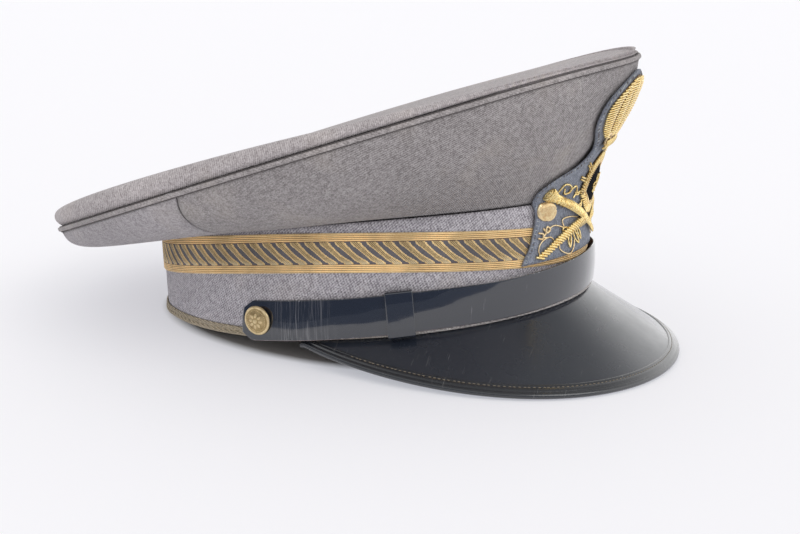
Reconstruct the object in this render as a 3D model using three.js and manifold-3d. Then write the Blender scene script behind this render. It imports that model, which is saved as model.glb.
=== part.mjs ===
// A peaked military cap with a wide tilted crown, lying on the rear of its band and on the rim of its peak.
// Millimetres. The peak points along -Y, +Z is up, and the wearer's right is -X.
// Each piece is worked out in the cap's own frame, where the band stands upright on z = 0 with its centre
// on the origin. The last lines tip the whole cap back to the way it lies and move it so that the bottom
// centre of its box is the origin.
import * as THREE from 'three';
import { mergeVertices } from 'three/addons/utils/BufferGeometryUtils.js';
import Module from 'manifold-3d';

// Driving sizes
const GAP = 0.3;
const RESTING_TILT = THREE.MathUtils.degToRad(7.8);
const BAND = { length: 106, width: 80.3, wall: 3, narrowing: 0.047, sideDip: 3.1 };
const BAND_TOP = { middle: 40.3, frontRise: 5.2, sideRise: 6.4 };
const GALLOON = { bottom: 17, sideRise: 9.5, height: 17.2, thickness: 0.6 };
const BINDING = { height: 2.9, seat: 0.45, outside: 0.6, inside: 3.6, flatAngle: 24, blendAngle: 16 };
const CROWN = { length: 141.6, width: 127.8, setBack: 8.5, middle: 73.2, slope: 13.2, sideRise: 2.1 };
const FRONT_DROP = { depth: 2.5, sharpness: 10 };
const LEFT_ROLL = 0.5;
const CLOTH = 2;
const WELT = { radius: 1.1, proud: 0.4 };
const SEAM = { atWelt: 99, atBand: 106, proud: 1.2 };
const PEAK = { reach: 52.6, fullness: 1.94, roundness: 0.765, flare: 0.61, end: 92.3, leather: 1.8 };
const PEAK_SLOPE = { front: 39, side: 38 };
const PEAK_ROOT = { inside: 2.5, flange: 0.1, fan: 0.1 };
const RIM = { radius: 1.35, inset: 3.4 };
const STRAP = { width: 17.3, thickness: 1.6, end: 107.5, endWidth: 0.62, endLength: 4 };
const KEEPER = { angle: 67.3, halfAngle: 3.2, thickness: 1.1 };
const BUTTON = { angle: 102.5, rise: 0.6, seat: 0.15, radius: 6.6, height: 3.2, rim: 0.7 };
const BADGE = { lift: 1.4, backing: 1.2, seat: 0.75, strapClearance: 0.6 };

// Round the crown from the front to the back: how the top rolls over its edge, and the two handles of the
// curve that the side panel follows from the welt down to the band. Out is away from the cap, down is -Z.
// The roll is flatter on the left, down to LEFT_ROLL of its height.
const CROWN_ROWS = [
  { angle: 0, roll: 1.1, over: 0.4, upperOut: -3, upperDown: 20, lowerOut: 7, lowerDown: -24 },
  { angle: 30, roll: 2.0, over: 0.8, upperOut: -3, upperDown: 18, lowerOut: 9, lowerDown: -16 },
  { angle: 60, roll: 4.2, over: 1.4, upperOut: -4, upperDown: 14, lowerOut: 12, lowerDown: -4 },
  { angle: 90, roll: 8.2, over: 2.0, upperOut: -5, upperDown: 13, lowerOut: 18, lowerDown: 0 },
  { angle: 120, roll: 10.2, over: 2.2, upperOut: -3, upperDown: 13.5, lowerOut: 19, lowerDown: 1.5 },
  { angle: 150, roll: 9.4, over: 1.2, upperOut: -1, upperDown: 14, lowerOut: 19, lowerDown: 3 },
  { angle: 180, roll: 7.0, over: 0.3, upperOut: 0, upperDown: 15, lowerOut: 18, lowerDown: 6 },
];

// Round the strap from the front to its end: how far it stands off the band, and the height of its middle.
const STRAP_ROWS = [
  { angle: 0, standOff: 2.2, middle: 11.3 },
  { angle: 20, standOff: 2.3, middle: 10.0 },
  { angle: 40, standOff: 2.4, middle: 8.7 },
  { angle: 60, standOff: 2.2, middle: 8.2 },
  { angle: 80, standOff: 2.0, middle: 6.8 },
  { angle: 95, standOff: 1.3, middle: 5.8 },
  { angle: 110, standOff: 1.0, middle: 5.0 },
];

// The half width of the badge's backing and of its plume at each height.
const BACKING_ROWS = [
  { height: 21, half: 45 },
  { height: 27, half: 41.5 },
  { height: 34, half: 39 },
  { height: 43, half: 36.5 },
  { height: 51, half: 38 },
  { height: 56, half: 36 },
  { height: 59, half: 25 },
  { height: 64, half: 17 },
  { height: 69, half: 18 },
  { height: 76, half: 29 },
  { height: 84, half: 33.5 },
  { height: 91, half: 30 },
  { height: 96, half: 17 },
  { height: 99, half: 3 },
];
const FLAME_ROWS = [
  { height: 71.4, half: 12 },
  { height: 75, half: 21 },
  { height: 82, half: 28 },
  { height: 88, half: 27.5 },
  { height: 93.5, half: 16 },
  { height: 96.5, half: 3 },
];
const FLAME = { thickness: 1.8, tip: 0.9 };
const COLLAR = { height: 68.6, half: 11, radius: 1.4 };
const OVAL = { height: 50, tall: 11.6, wide: 10.4, radius: 1.8 };
const DISC = { tall: 9, wide: 7.8, thickness: 1.8 };
const BARREL = { crossing: 31, rise: 0.58, outer: 34, inner: 8.5, thick: 2.5, thin: 1.6, flatness: 0.6 };
const BRANCH = { radius: 1.3 };
const BRANCH_ROWS = [
  { across: 11, height: 31 },
  { across: 22, height: 30 },
  { across: 34, height: 26.5 },
  { across: 44.5, height: 22.8 },
];
const PAD = { across: 32.5, height: 42.5, radius: 4.2, thickness: 2.4 };

// The badge is stiff: how much further its middle stands off the cap at each height, and where across it this
// fades.
const STIFF_ROWS = [
  { height: 21, off: 0 },
  { height: 34, off: 0.4 },
  { height: 42, off: 2.0 },
  { height: 50, off: 2.8 },
  { height: 60, off: 1.6 },
  { height: 68, off: 0.2 },
  { height: 76, off: -0.2 },
  { height: 84, off: -0.5 },
  { height: 92, off: -0.7 },
  { height: 99, off: -0.8 },
];
const STIFF_FADE = { from: 8, to: 30 };

// How finely the pieces are faceted
const ROUND = 60;
const RIM_STEPS = 40;
const STRAP_STEPS = 44;

const radians = THREE.MathUtils.degToRad;
const mix = THREE.MathUtils.lerp;
const steps = (count, from = 0, to = 1) => (
  Array.from({ length: count + 1 }, (_, i) => mix(from, to, i / count)));
const turn = (count) => Array.from({ length: count }, (_, i) => (i / count) * 2 * Math.PI);
const point = (x, y, z) => new THREE.Vector3(x, y, z);

// The value of a table's column between its rows, smoothly
function fromTable(rows, key, at, column) {
  const place = THREE.MathUtils.clamp(at, rows[0][key], rows[rows.length - 1][key]);
  const next = Math.max(1, rows.findIndex((row) => row[key] >= place));
  const [a, b] = [rows[next - 1], rows[next]];
  const before = rows[Math.max(0, next - 2)];
  const after = rows[Math.min(rows.length - 1, next + 1)];
  const span = b[key] - a[key];
  const t = (place - a[key]) / span;
  const startSlope = next > 1 ? ((b[column] - before[column]) / (b[key] - before[key])) * span : 0;
  const isLast = next === rows.length - 1;
  const endSlope = isLast ? 0 : ((after[column] - a[column]) / (after[key] - a[key])) * span;
  return (
    (2 * t ** 3 - 3 * t ** 2 + 1) * a[column] + (t ** 3 - 2 * t ** 2 + t) * startSlope +
    (3 * t ** 2 - 2 * t ** 3) * b[column] + (t ** 3 - t ** 2) * endSlope
  );
}

// An angle round the cap in degrees, 0 at the front and 180 at the back, the same on both sides
function degreesFromFront(phi) {
  const turned = Math.abs(THREE.MathUtils.radToDeg(phi)) % 360;
  return turned > 180 ? 360 - turned : turned;
}

// A closed mesh: equal points are merged, empty triangles are dropped, and the faces point out
function solid(points, faces) {
  const loose = new THREE.BufferGeometry();
  loose.setAttribute('position', new THREE.Float32BufferAttribute(points.flatMap((p) => [p.x, p.y, p.z]), 3));
  loose.setIndex(faces.flat());
  const merged = mergeVertices(loose, 1e-4);
  const index = Array.from(merged.index.array);
  const kept = [];
  for (let i = 0; i < index.length; i += 3) {
    const [a, b, c] = index.slice(i, i + 3);
    if (a !== b && b !== c && c !== a) kept.push([a, b, c]);
  }
  const corner = (i) => new THREE.Vector3().fromBufferAttribute(merged.attributes.position, i);
  const volume = kept.reduce((sum, [a, b, c]) => sum + corner(a).dot(corner(b).cross(corner(c))), 0);
  merged.setIndex(kept.map(([a, b, c]) => (volume > 0 ? [a, b, c] : [a, c, b])).flat());
  return merged;
}

// A solid through a row of closed sections, joined end to start if it is a ring, with flat ends if it isn't
function sweep(sections, isRing) {
  const count = sections[0].length;
  const corner = (i, k) => (i % sections.length) * count + (k % count);
  const faces = [];
  const spans = isRing ? sections.length : sections.length - 1;
  for (let i = 0; i < spans; i += 1) {
    for (let k = 0; k < count; k += 1) {
      faces.push([corner(i, k), corner(i + 1, k), corner(i + 1, k + 1)]);
      faces.push([corner(i, k), corner(i + 1, k + 1), corner(i, k + 1)]);
    }
  }
  for (let k = 0; !isRing && k < count / 2 - 1; k += 1) {
    const ladder = [k, k + 1, count - 2 - k, count - 1 - k];
    const [a, b, c, d] = ladder.map((n) => corner(0, n));
    const [e, f, g, h] = ladder.map((n) => corner(sections.length - 1, n));
    faces.push([a, b, c], [a, c, d], [e, g, f], [e, h, g]);
  }
  return solid(sections.flat(), faces);
}

// A wall of even thickness behind a surface, along and across which the two lists of values run. A surface that
// closes to one point at its end is given the way through the wall there.
function wall(surface, along, across, thickness, isRing, wayAtPoint = null) {
  const step = 1e-3;
  const last = across[across.length - 1];
  const behind = (u, v) => {
    if (wayAtPoint && v === last) return surface(u, v).addScaledVector(wayAtPoint, thickness);
    const [a, b] = [Math.max(u - step, Math.min(...along)), Math.min(u + step, Math.max(...along))];
    const [c, d] = [Math.max(v - step, across[0]), Math.min(v + step, last)];
    const [low, high] = isRing ? [u - step, u + step] : [a, b];
    const level = Math.min(v, last - step);
    const alongWay = surface(high, level).sub(surface(low, level));
    const acrossWay = surface(u, d).sub(surface(u, c));
    return surface(u, v).addScaledVector(alongWay.cross(acrossWay).normalize(), thickness);
  };
  const sections = along.map((u) => [
    ...across.map((v) => surface(u, v)),
    ...[...across].reverse().map((v) => behind(u, v)),
  ]);
  return sweep(sections, isRing);
}

// The direction straight out from an oval at an angle, level in the cap's own frame
function outward(phi, length, width) {
  return point(-Math.sin(phi) / width, -Math.cos(phi) / length, 0).normalize();
}

// A point on the band's outer face at an angle and a height, moved out by an amount
function onBand(phi, z, out = 0) {
  const inset = BAND.narrowing * z;
  const [length, width] = [BAND.length - inset, BAND.width - inset];
  const base = point(-width * Math.sin(phi), -length * Math.cos(phi), z);
  return base.addScaledVector(outward(phi, length, width), out);
}

const lowerEdge = (phi) => -BAND.sideDip * Math.sin(phi) ** 2;
const galloonBottom = (phi) => GALLOON.bottom + GALLOON.sideRise * Math.sin(phi) ** 2;
const bandTop = (phi) => (
  BAND_TOP.middle + BAND_TOP.frontRise * Math.cos(phi) + BAND_TOP.sideRise * Math.sin(phi) ** 2);

// The middle line of the welt, on a sloping oval that turns down a little at the front
function weltLine(phi) {
  const drop = FRONT_DROP.depth * Math.max(0, Math.cos(phi)) ** FRONT_DROP.sharpness;
  const back = -CROWN.length * Math.cos(phi);
  const sideRise = CROWN.sideRise * Math.sin(phi) ** 2;
  const height = CROWN.middle - back * Math.tan(radians(CROWN.slope)) + sideRise - drop;
  return point(-CROWN.width * Math.sin(phi), CROWN.setBack + back, height);
}
const weltOut = (phi) => outward(phi, CROWN.length, CROWN.width);
const crownUp = point(0, Math.sin(radians(CROWN.slope)), Math.cos(radians(CROWN.slope)));
const crownRow = (phi, column) => fromTable(CROWN_ROWS, 'angle', degreesFromFront(phi), column);

// The top panel's outer face, from its edge at the welt (0), over the roll (EDGE), to the middle (1)
const TOP = { edge: 0.5, rollIn: 4, firstAngle: -60, middle: 5, swell: 0.8, sag: 3 };
function topFace(phi, t) {
  const roll = crownRow(phi, 'roll') * mix(LEFT_ROLL, 1, (1 + Math.sin(phi)) / 2);
  const over = crownRow(phi, 'over');
  const start = weltLine(phi).addScaledVector(crownUp, WELT.radius + GAP);
  const bend = radians(mix(TOP.firstAngle, 90, Math.min(1, t / TOP.edge)));
  const floor = Math.sin(radians(TOP.firstAngle));
  const rim = start
    .addScaledVector(weltOut(phi), (TOP.rollIn + over) * Math.cos(bend) - TOP.rollIn)
    .addScaledVector(crownUp, (roll * (Math.sin(bend) - floor)) / (1 - floor));
  if (t <= TOP.edge) return rim;
  const inward = (t - TOP.edge) / (1 - TOP.edge);
  const middle = point(0, CROWN.setBack, CROWN.middle).addScaledVector(crownUp, TOP.middle);
  const lift = TOP.swell * Math.sin(Math.PI * inward) * (1 - inward) - TOP.sag * inward ** 2;
  return rim.lerp(middle, inward).addScaledVector(crownUp, lift);
}

// The outer face of the crown's side, from the welt (0) down to the band (1)
const FOOT = { inside: 1.0, lift: 0.35, rearLift: 1.0 };
function sideFace(phi, t, proud = 0) {
  const down = point(0, 0, -1);
  const top = weltLine(phi).addScaledVector(crownUp, -WELT.radius - GAP);
  const rear = Math.max(0, -Math.cos(phi));
  const foot = onBand(phi, bandTop(phi), -FOOT.inside);
  foot.z += FOOT.lift + FOOT.rearLift * rear;
  const upper = top.clone()
    .addScaledVector(weltOut(phi), crownRow(phi, 'upperOut'))
    .addScaledVector(down, crownRow(phi, 'upperDown'));
  const lower = foot.clone()
    .addScaledVector(outward(phi, BAND.length, BAND.width), crownRow(phi, 'lowerOut'))
    .addScaledVector(down, crownRow(phi, 'lowerDown'));
  const curve = new THREE.CubicBezierCurve3(top, upper, lower, foot);
  const swell = proud * Math.sin(Math.PI * t);
  return curve.getPoint(t).addScaledVector(weltOut(phi), swell).addScaledVector(down, swell);
}

const TOP_ACROSS = [0, 0.1, 0.2, 0.3, 0.4, 0.5, 0.65, 0.85, 1];
const crownTop = () => wall(topFace, turn(ROUND), TOP_ACROSS, CLOTH, true, crownUp.clone().negate());

// The two side panels meet at a seam on each side, where the front one stands a little proud
const seamAngle = (t) => radians(mix(SEAM.atWelt, SEAM.atBand, t));
const seamGap = radians(0.18);
const PANEL_ACROSS = steps(8);
function frontPanel() {
  const proud = (u) => SEAM.proud * Math.min(1, (1 - Math.abs(u)) * 8);
  const face = (u, t) => sideFace(u * (seamAngle(t) - seamGap), t, proud(u));
  return wall(face, steps(36, -1, 1), PANEL_ACROSS, -CLOTH, false);
}
function rearPanel() {
  const face = (u, t) => sideFace(Math.PI + u * (Math.PI - seamAngle(t) - seamGap), t);
  return wall(face, steps(26, -1, 1), PANEL_ACROSS, -CLOTH, false);
}

// A roll round a closed or open line: frame gives the middle, the way out and the way up at each place
function roll(places, frame, section, isRing) {
  return sweep(places.map((place) => {
    const { middle, out, up } = frame(place);
    return section.map(([a, b]) => middle.clone().addScaledVector(out, a).addScaledVector(up, b));
  }), isRing);
}
const roundSection = (radius, sides) => turn(sides).map((a) => [radius * Math.cos(a), radius * Math.sin(a)]);

function crownWelt() {
  const middle = (phi) => weltLine(phi).addScaledVector(weltOut(phi), WELT.proud);
  const frame = (phi) => ({ middle: middle(phi), out: weltOut(phi), up: crownUp });
  return roll(turn(ROUND), frame, roundSection(WELT.radius, 6), true);
}

// The height of the floor in the cap's own frame, at a distance back from the band's middle
const floorAt = (y) => (y - BAND.length) * Math.tan(RESTING_TILT);

// The band's lower edge lies flat on the floor at the back, and blends into its own line to each side
function restingEdge(phi, y) {
  const fromRear = 180 - degreesFromFront(phi);
  const { flatAngle, blendAngle } = BINDING;
  const blend = THREE.MathUtils.smoothstep(flatAngle + blendAngle - fromRear, 0, blendAngle);
  return mix(lowerEdge(phi), floorAt(y), blend);
}

function band() {
  const face = (phi, t) => {
    const edge = restingEdge(phi, onBand(phi, 0).y) + BINDING.height + BINDING.seat;
    return onBand(phi, mix(edge, bandTop(phi), t));
  };
  return wall(face, turn(ROUND), [0, 1], BAND.wall, true);
}

function galloon() {
  const face = (phi, t) => onBand(phi, galloonBottom(phi) + GALLOON.height * t, GAP + GALLOON.thickness);
  return wall(face, turn(ROUND), [0, 1], GALLOON.thickness, true);
}

function bandBinding() {
  const sections = turn(ROUND).map((phi) => {
    const corner = (out, share) => {
      const foot = onBand(phi, 0, out);
      foot.z = restingEdge(phi, foot.y) + BINDING.height * share;
      return foot;
    };
    const { inside, outside } = BINDING;
    return [corner(-inside, 0), corner(outside - 1, 0), corner(outside, 0.35), corner(outside, 0.75),
      corner(outside - 0.8, 1), corner(-inside, 1)];
  });
  return sweep(sections, true);
}

// How far the peak's leather reaches from the band, with room left for its rolled edge. The place q runs
// from -1 to 1 round the peak. Then the peak's outer face, from under the band (0) to the rim (1)
function peakReach(q) {
  return PEAK.reach * Math.max(0, 1 - Math.abs(q) ** PEAK.fullness) ** PEAK.roundness - RIM.inset;
}
function peakWay(phi) {
  const sideways = Math.sin(phi);
  const slope = radians(mix(PEAK_SLOPE.front, PEAK_SLOPE.side, sideways ** 2));
  const forward = Math.cos(slope) * (1 + PEAK_ROOT.fan * sideways ** 2);
  return point(-PEAK.flare * sideways, -forward, -Math.sin(slope));
}
function peakFace(q, t) {
  const phi = q * radians(PEAK.end);
  const { flange, inside } = PEAK_ROOT;
  const root = onBand(phi, 0, -inside * Math.max(0, 1 - t / flange));
  const share = Math.max(0, (t - flange) / (1 - flange));
  root.z = lowerEdge(phi) - GAP;
  return root.addScaledVector(peakWay(phi), peakReach(q) * share);
}
const PEAK_SIDE = 0.985;
function peak() {
  const along = steps(RIM_STEPS, -PEAK_SIDE, PEAK_SIDE);
  return wall(peakFace, along, [0, PEAK_ROOT.flange, 0.4, 0.7, 1], -PEAK.leather, false);
}
function peakBinding() {
  const frame = (q) => {
    const phi = q * radians(PEAK.end);
    const way = peakWay(phi).normalize();
    const along = peakFace(q + 1e-3, 1).sub(peakFace(q - 1e-3, 1)).normalize();
    const up = along.clone().cross(way).normalize();
    const out = up.clone().cross(along).normalize();
    const middle = peakFace(q, 1)
      .addScaledVector(up, -PEAK.leather / 2)
      .addScaledVector(out, RIM.radius + GAP);
    return { middle, out, up };
  };
  const places = steps(RIM_STEPS, -PEAK_SIDE + 0.01, PEAK_SIDE - 0.01);
  return roll(places, frame, roundSection(RIM.radius, 6), false);
}

const strapRow = (phi, column) => fromTable(STRAP_ROWS, 'angle', degreesFromFront(phi), column);
function strapPoint(phi, rise, out) {
  return onBand(phi, strapRow(phi, 'middle') + rise, strapRow(phi, 'standOff') + out);
}
function chinStrap() {
  const end = radians(STRAP.end);
  const cut = radians((STRAP.endLength / BAND.width) * THREE.MathUtils.RAD2DEG);
  const places = [-end, ...steps(STRAP_STEPS, -end + cut, end - cut), end];
  const half = (phi) => (STRAP.width / 2) * (Math.abs(phi) === end ? STRAP.endWidth : 1);
  const { thickness } = STRAP;
  return sweep(places.map((phi) => [
    strapPoint(phi, -half(phi), 0),
    strapPoint(phi, -half(phi), thickness - 0.4),
    strapPoint(phi, -half(phi) + 0.6, thickness),
    strapPoint(phi, half(phi) - 0.6, thickness),
    strapPoint(phi, half(phi), thickness - 0.4),
    strapPoint(phi, half(phi), 0),
  ]), false);
}

// A loop round the strap: the sections go once round it, and each spans the keeper's width
function keeper(side) {
  const { thickness } = KEEPER;
  const corners = [[-1, 0], [-1, 1], [-0.9, 1], [0.9, 1], [1, 1], [1, 0], [0.9, 0], [-0.9, 0]];
  const angles = [-1, 0, 1].map((n) => side * radians(KEEPER.angle + n * KEEPER.halfAngle));
  const place = (phi, [up, out], skin) => {
    const rise = up * (STRAP.width / 2 + GAP + (Math.abs(up) === 1 ? skin : 0));
    const edge = Math.abs(up) === 1 ? skin * 0.5 : skin;
    return strapPoint(phi, rise, out ? STRAP.thickness + GAP + edge : -GAP - edge);
  };
  return sweep(corners.map((corner) => [
    ...angles.map((phi) => place(phi, corner, 0)),
    ...[...angles].reverse().map((phi) => place(phi, corner, thickness)),
  ]), true);
}

// The button: a shallow dome inside a raised rim, turned round its own axis
function button() {
  const { radius, height, rim } = BUTTON;
  const profile = [[0, 0], [radius - 1.2, 0], [radius, 1], [radius, height - rim], [radius - rim, height],
    [radius - 2 * rim, height - rim], [radius * 0.45, height - 0.35], [0, height - 0.1]];
  return solidOf(new THREE.LatheGeometry(profile.map(([x, y]) => new THREE.Vector2(x, y)), 20));
}

// A three.js geometry as a closed mesh
function solidOf(geometry) {
  const source = geometry.index ? geometry.toNonIndexed() : geometry;
  const { position } = source.attributes;
  const corner = (_, i) => new THREE.Vector3().fromBufferAttribute(position, i);
  const points = Array.from({ length: position.count }, corner);
  const faces = Array.from({ length: position.count / 3 }, (_, i) => [3 * i, 3 * i + 1, 3 * i + 2]);
  return solid(points, faces);
}

// A point on the front of the cap from its distance across and its height, moved out by an amount
function onFront(x, height, lift) {
  const fade = 1 - THREE.MathUtils.smoothstep(Math.abs(x), STIFF_FADE.from, STIFF_FADE.to);
  const out = lift + fade * fromTable(STIFF_ROWS, 'height', height, 'off');
  const bandAngle = Math.asin(x / (BAND.width - BAND.narrowing * height));
  if (height <= bandTop(bandAngle)) return onBand(bandAngle, height, out);
  const look = (phi, t) => sideFace(phi, t, SEAM.proud);
  let [phi, t] = [bandAngle, 0.5];
  for (let round = 0; round < 12; round += 1) {
    const here = look(phi, t);
    const step = 1e-4;
    const turned = look(phi + step, t).sub(here).divideScalar(step);
    const lowered = look(phi, t + step).sub(here).divideScalar(step);
    const [dx, dz] = [-x - here.x, height - here.z];
    const size = turned.x * lowered.z - turned.z * lowered.x;
    phi += (dx * lowered.z - dz * lowered.x) / size;
    t = THREE.MathUtils.clamp(t + (turned.x * dz - turned.z * dx) / size, 0.02, 1);
  }
  return look(phi, t).addScaledVector(outward(phi, BAND.length, BAND.width), out);
}

// The way up and the way out of the cap's front at a place, taken over a short height
function frontWays(x, height) {
  const up = onFront(x, height + 3, 0).sub(onFront(x, height - 3, 0)).normalize();
  const across = onFront(x + 1, height, 0).sub(onFront(x - 1, height, 0)).normalize();
  return { up, out: up.clone().cross(across).normalize() };
}

// A flat badge piece that follows the front of the cap, with its half width from a table of heights. Its
// foot follows the strap's upper edge
const FOOT_BLEND = 12;
function badgeSheet(rows, inner, thickness, tipThickness, tall, wide) {
  const low = rows[0].height;
  const high = rows[rows.length - 1].height;
  const at = (height, share, out) => {
    const x = share * fromTable(rows, 'height', height, 'half');
    const nearFoot = Math.max(0, 1 - (height - low) / FOOT_BLEND) ** 2;
    const strapTop = strapPoint(Math.asin(x / BAND.width), STRAP.width / 2, 0).z + BADGE.strapClearance;
    return onFront(x, height + nearFoot * Math.max(0, strapTop - low), out);
  };
  const across = steps(wide, -1, 1);
  const thicknessAt = (height) => mix(thickness, tipThickness, (height - low) / (high - low));
  return sweep(steps(tall, low, high).map((height) => [
    ...across.map((share) => at(height, share, inner)),
    ...[...across].reverse().map((share) => at(height, share, inner + thicknessAt(height))),
  ]), false);
}

// A wire-worked roll of changing radius along a line of places on the front of the cap
function badgeRoll(places, radiusAt, sides, isRing) {
  const base = BADGE.lift + BADGE.backing + BADGE.seat;
  const last = places.length - 1;
  const middles = places.map(([x, height], i) => onFront(x, height, base + radiusAt(i / last)));
  const frame = (i) => {
    const next = isRing ? (i + 1) % places.length : Math.min(i + 1, last);
    const before = isRing ? (i + last) % places.length : Math.max(i - 1, 0);
    const along = middles[next].clone().sub(middles[before]).normalize();
    const { out } = frontWays(...places[i]);
    const up = along.clone().cross(out).normalize();
    return { middle: middles[i], out: up.clone().cross(along).normalize(), up };
  };
  return sweep(places.map((_, i) => {
    const { middle, out, up } = frame(i);
    return roundSection(radiusAt(i / last), sides).map(([a, b]) => (
      middle.clone().addScaledVector(out, a).addScaledVector(up, b)));
  }), isRing);
}

const badgeCollar = () => badgeRoll(
  steps(4, -COLLAR.half, COLLAR.half).map((x) => [x, COLLAR.height]), () => COLLAR.radius, 6, false);
const badgeOval = () => badgeRoll(
  turn(22).map((a) => [OVAL.wide * Math.sin(a), OVAL.height + OVAL.tall * Math.cos(a)]),
  () => OVAL.radius, 6, true);

// A round or oval pad that follows the front of the cap
function badgePad(x, height, wide, tall, thickness) {
  const base = BADGE.lift + BADGE.backing + BADGE.seat;
  const ring = (share, out) => turn(14).map((a) => (
    onFront(x + wide * share * Math.sin(a), height + tall * share * Math.cos(a), base + out)));
  const profile = [[0, 0], [1, 0], [1, 0.45], [0.6, 0.9], [0, 1]];
  const rings = profile.map(([share, rise]) => ring(share, thickness * rise));
  const sections = turn(14).map((_, i) => rings.map((one) => one[i]));
  return sweep(sections, true);
}

// One barrel, thick at its outer end and thin near the strap
function badgeBarrel(side) {
  const { crossing, rise, outer, inner } = BARREL;
  const places = steps(9, outer, -inner).map((x) => [side * x, crossing + rise * x]);
  const radiusAt = (t) => mix(BARREL.thick, BARREL.thin, t);
  const base = BADGE.lift + BADGE.backing + BADGE.seat;
  const sections = places.map(([x, height], i) => {
    const radius = radiusAt(i / (places.length - 1));
    const middle = onFront(x, height, base + radius * BARREL.flatness);
    const { up, out } = frontWays(x, height);
    return roundSection(radius, 8).map(([a, b]) => (
      middle.clone().addScaledVector(out, a * BARREL.flatness).addScaledVector(up, b)));
  });
  return sweep(sections, false);
}

// Both barrels, worked as one where they cross
const library = await Module();
library.setup();
function asManifold(geometry) {
  const { Manifold, Mesh } = library;
  const vertProperties = new Float32Array(geometry.attributes.position.array);
  const triVerts = new Uint32Array(geometry.index.array);
  return new Manifold(new Mesh({ numProp: 3, vertProperties, triVerts }));
}
function badgeBarrels() {
  const joined = asManifold(badgeBarrel(1)).add(asManifold(badgeBarrel(-1))).getMesh();
  const geometry = new THREE.BufferGeometry();
  geometry.setAttribute('position', new THREE.BufferAttribute(joined.vertProperties, 3));
  geometry.setIndex(Array.from(joined.triVerts));
  return geometry;
}

function badgeBranch(side) {
  const places = steps(7, BRANCH_ROWS[0].across, BRANCH_ROWS[3].across)
    .map((x) => [side * x, fromTable(BRANCH_ROWS, 'across', x, 'height')]);
  return badgeRoll(places, (t) => BRANCH.radius * (1 - 0.4 * t * t), 6, false);
}

function badgeBacking() {
  const { lift, backing } = BADGE;
  return badgeSheet(BACKING_ROWS, lift, backing, backing, 24, 12);
}
function badgeFlame() {
  const base = BADGE.lift + BADGE.backing + BADGE.seat;
  return badgeSheet(FLAME_ROWS, base, FLAME.thickness, FLAME.tip, 10, 8);
}
const sidePad = (side) => badgePad(side * PAD.across, PAD.height, PAD.radius, PAD.radius, PAD.thickness);
const badgeDisc = () => badgePad(0, OVAL.height, DISC.wide, DISC.tall, DISC.thickness);

// Finishes: colour, roughness, and how much of a metal each is
const finish = (color, roughness, metalness = 0) => (
  new THREE.MeshStandardMaterial({ color, roughness, metalness }));
const cloth = (colour) => finish(colour, 0.95);
const leather = (colour, roughness) => finish(colour, roughness);
const gilt = () => finish('#c9a24e', 0.4, 0.8);

const cap = new THREE.Group();
function add(name, geometry, material) {
  const mesh = new THREE.Mesh(geometry, material);
  mesh.name = name;
  cap.add(mesh);
  return mesh;
}

add('crown_top', crownTop(), cloth('#8f898c'));
add('crown_front_panel', frontPanel(), cloth('#878285'));
add('crown_rear_panel', rearPanel(), cloth('#938e93'));
add('crown_welt', crownWelt(), cloth('#8a8488'));
add('band', band(), cloth('#928f96'));
add('galloon', galloon(), cloth('#b8965f'));
add('band_binding', bandBinding(), cloth('#8d826b'));
add('peak', peak(), leather('#2b2e33', 0.3));
add('peak_binding', peakBinding(), leather('#24262a', 0.4));
add('chin_strap', chinStrap(), leather('#1d2026', 0.15));
add('badge_backing', badgeBacking(), cloth('#666b74'));
add('badge_flame', badgeFlame(), gilt());
add('badge_collar', badgeCollar(), gilt());
add('badge_ring', badgeOval(), gilt());
add('badge_barrels', badgeBarrels(), gilt());
add('badge_disc', badgeDisc(), cloth('#17181b'));

for (const [side, name] of [[1, 'right'], [-1, 'left']]) {
  add(`keeper_${name}`, keeper(side), leather('#1d2026', 0.2));
  const angle = side * radians(BUTTON.angle);
  const onStrap = add(`button_${name}`, button(), finish('#b8a070', 0.45, 0.8));
  onStrap.position.copy(strapPoint(angle, BUTTON.rise, STRAP.thickness + GAP + BUTTON.seat));
  onStrap.quaternion.setFromUnitVectors(point(0, 1, 0), outward(angle, BAND.length, BAND.width));
  add(`badge_branch_${name}`, badgeBranch(side), gilt());
  add(`badge_pad_${name}`, sidePad(side), gilt());
}

// The way it lies: tipped back so that the front is raised, and moved onto the floor
cap.rotation.x = -RESTING_TILT;
const lying = new THREE.Group();
lying.add(cap);
const box = new THREE.Box3().setFromObject(lying, true);
const middle = box.getCenter(new THREE.Vector3());
cap.position.set(-middle.x, -middle.y, -box.min.z);

export default lying;
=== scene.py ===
# %% [markdown]
# ## A peaked military cap in cloth, braid, patent leather and gilt wire
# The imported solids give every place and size. This script dresses them: each soft piece is a smooth form
# laid over its solid, and each finish is made from nodes. Everything is in metres, with the peak along -Y.

# %% Load the solids
import bisect
import math
import random

import bmesh
import bpy
from mathutils import Matrix, Vector, noise
from mathutils.bvhtree import BVHTree


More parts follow.
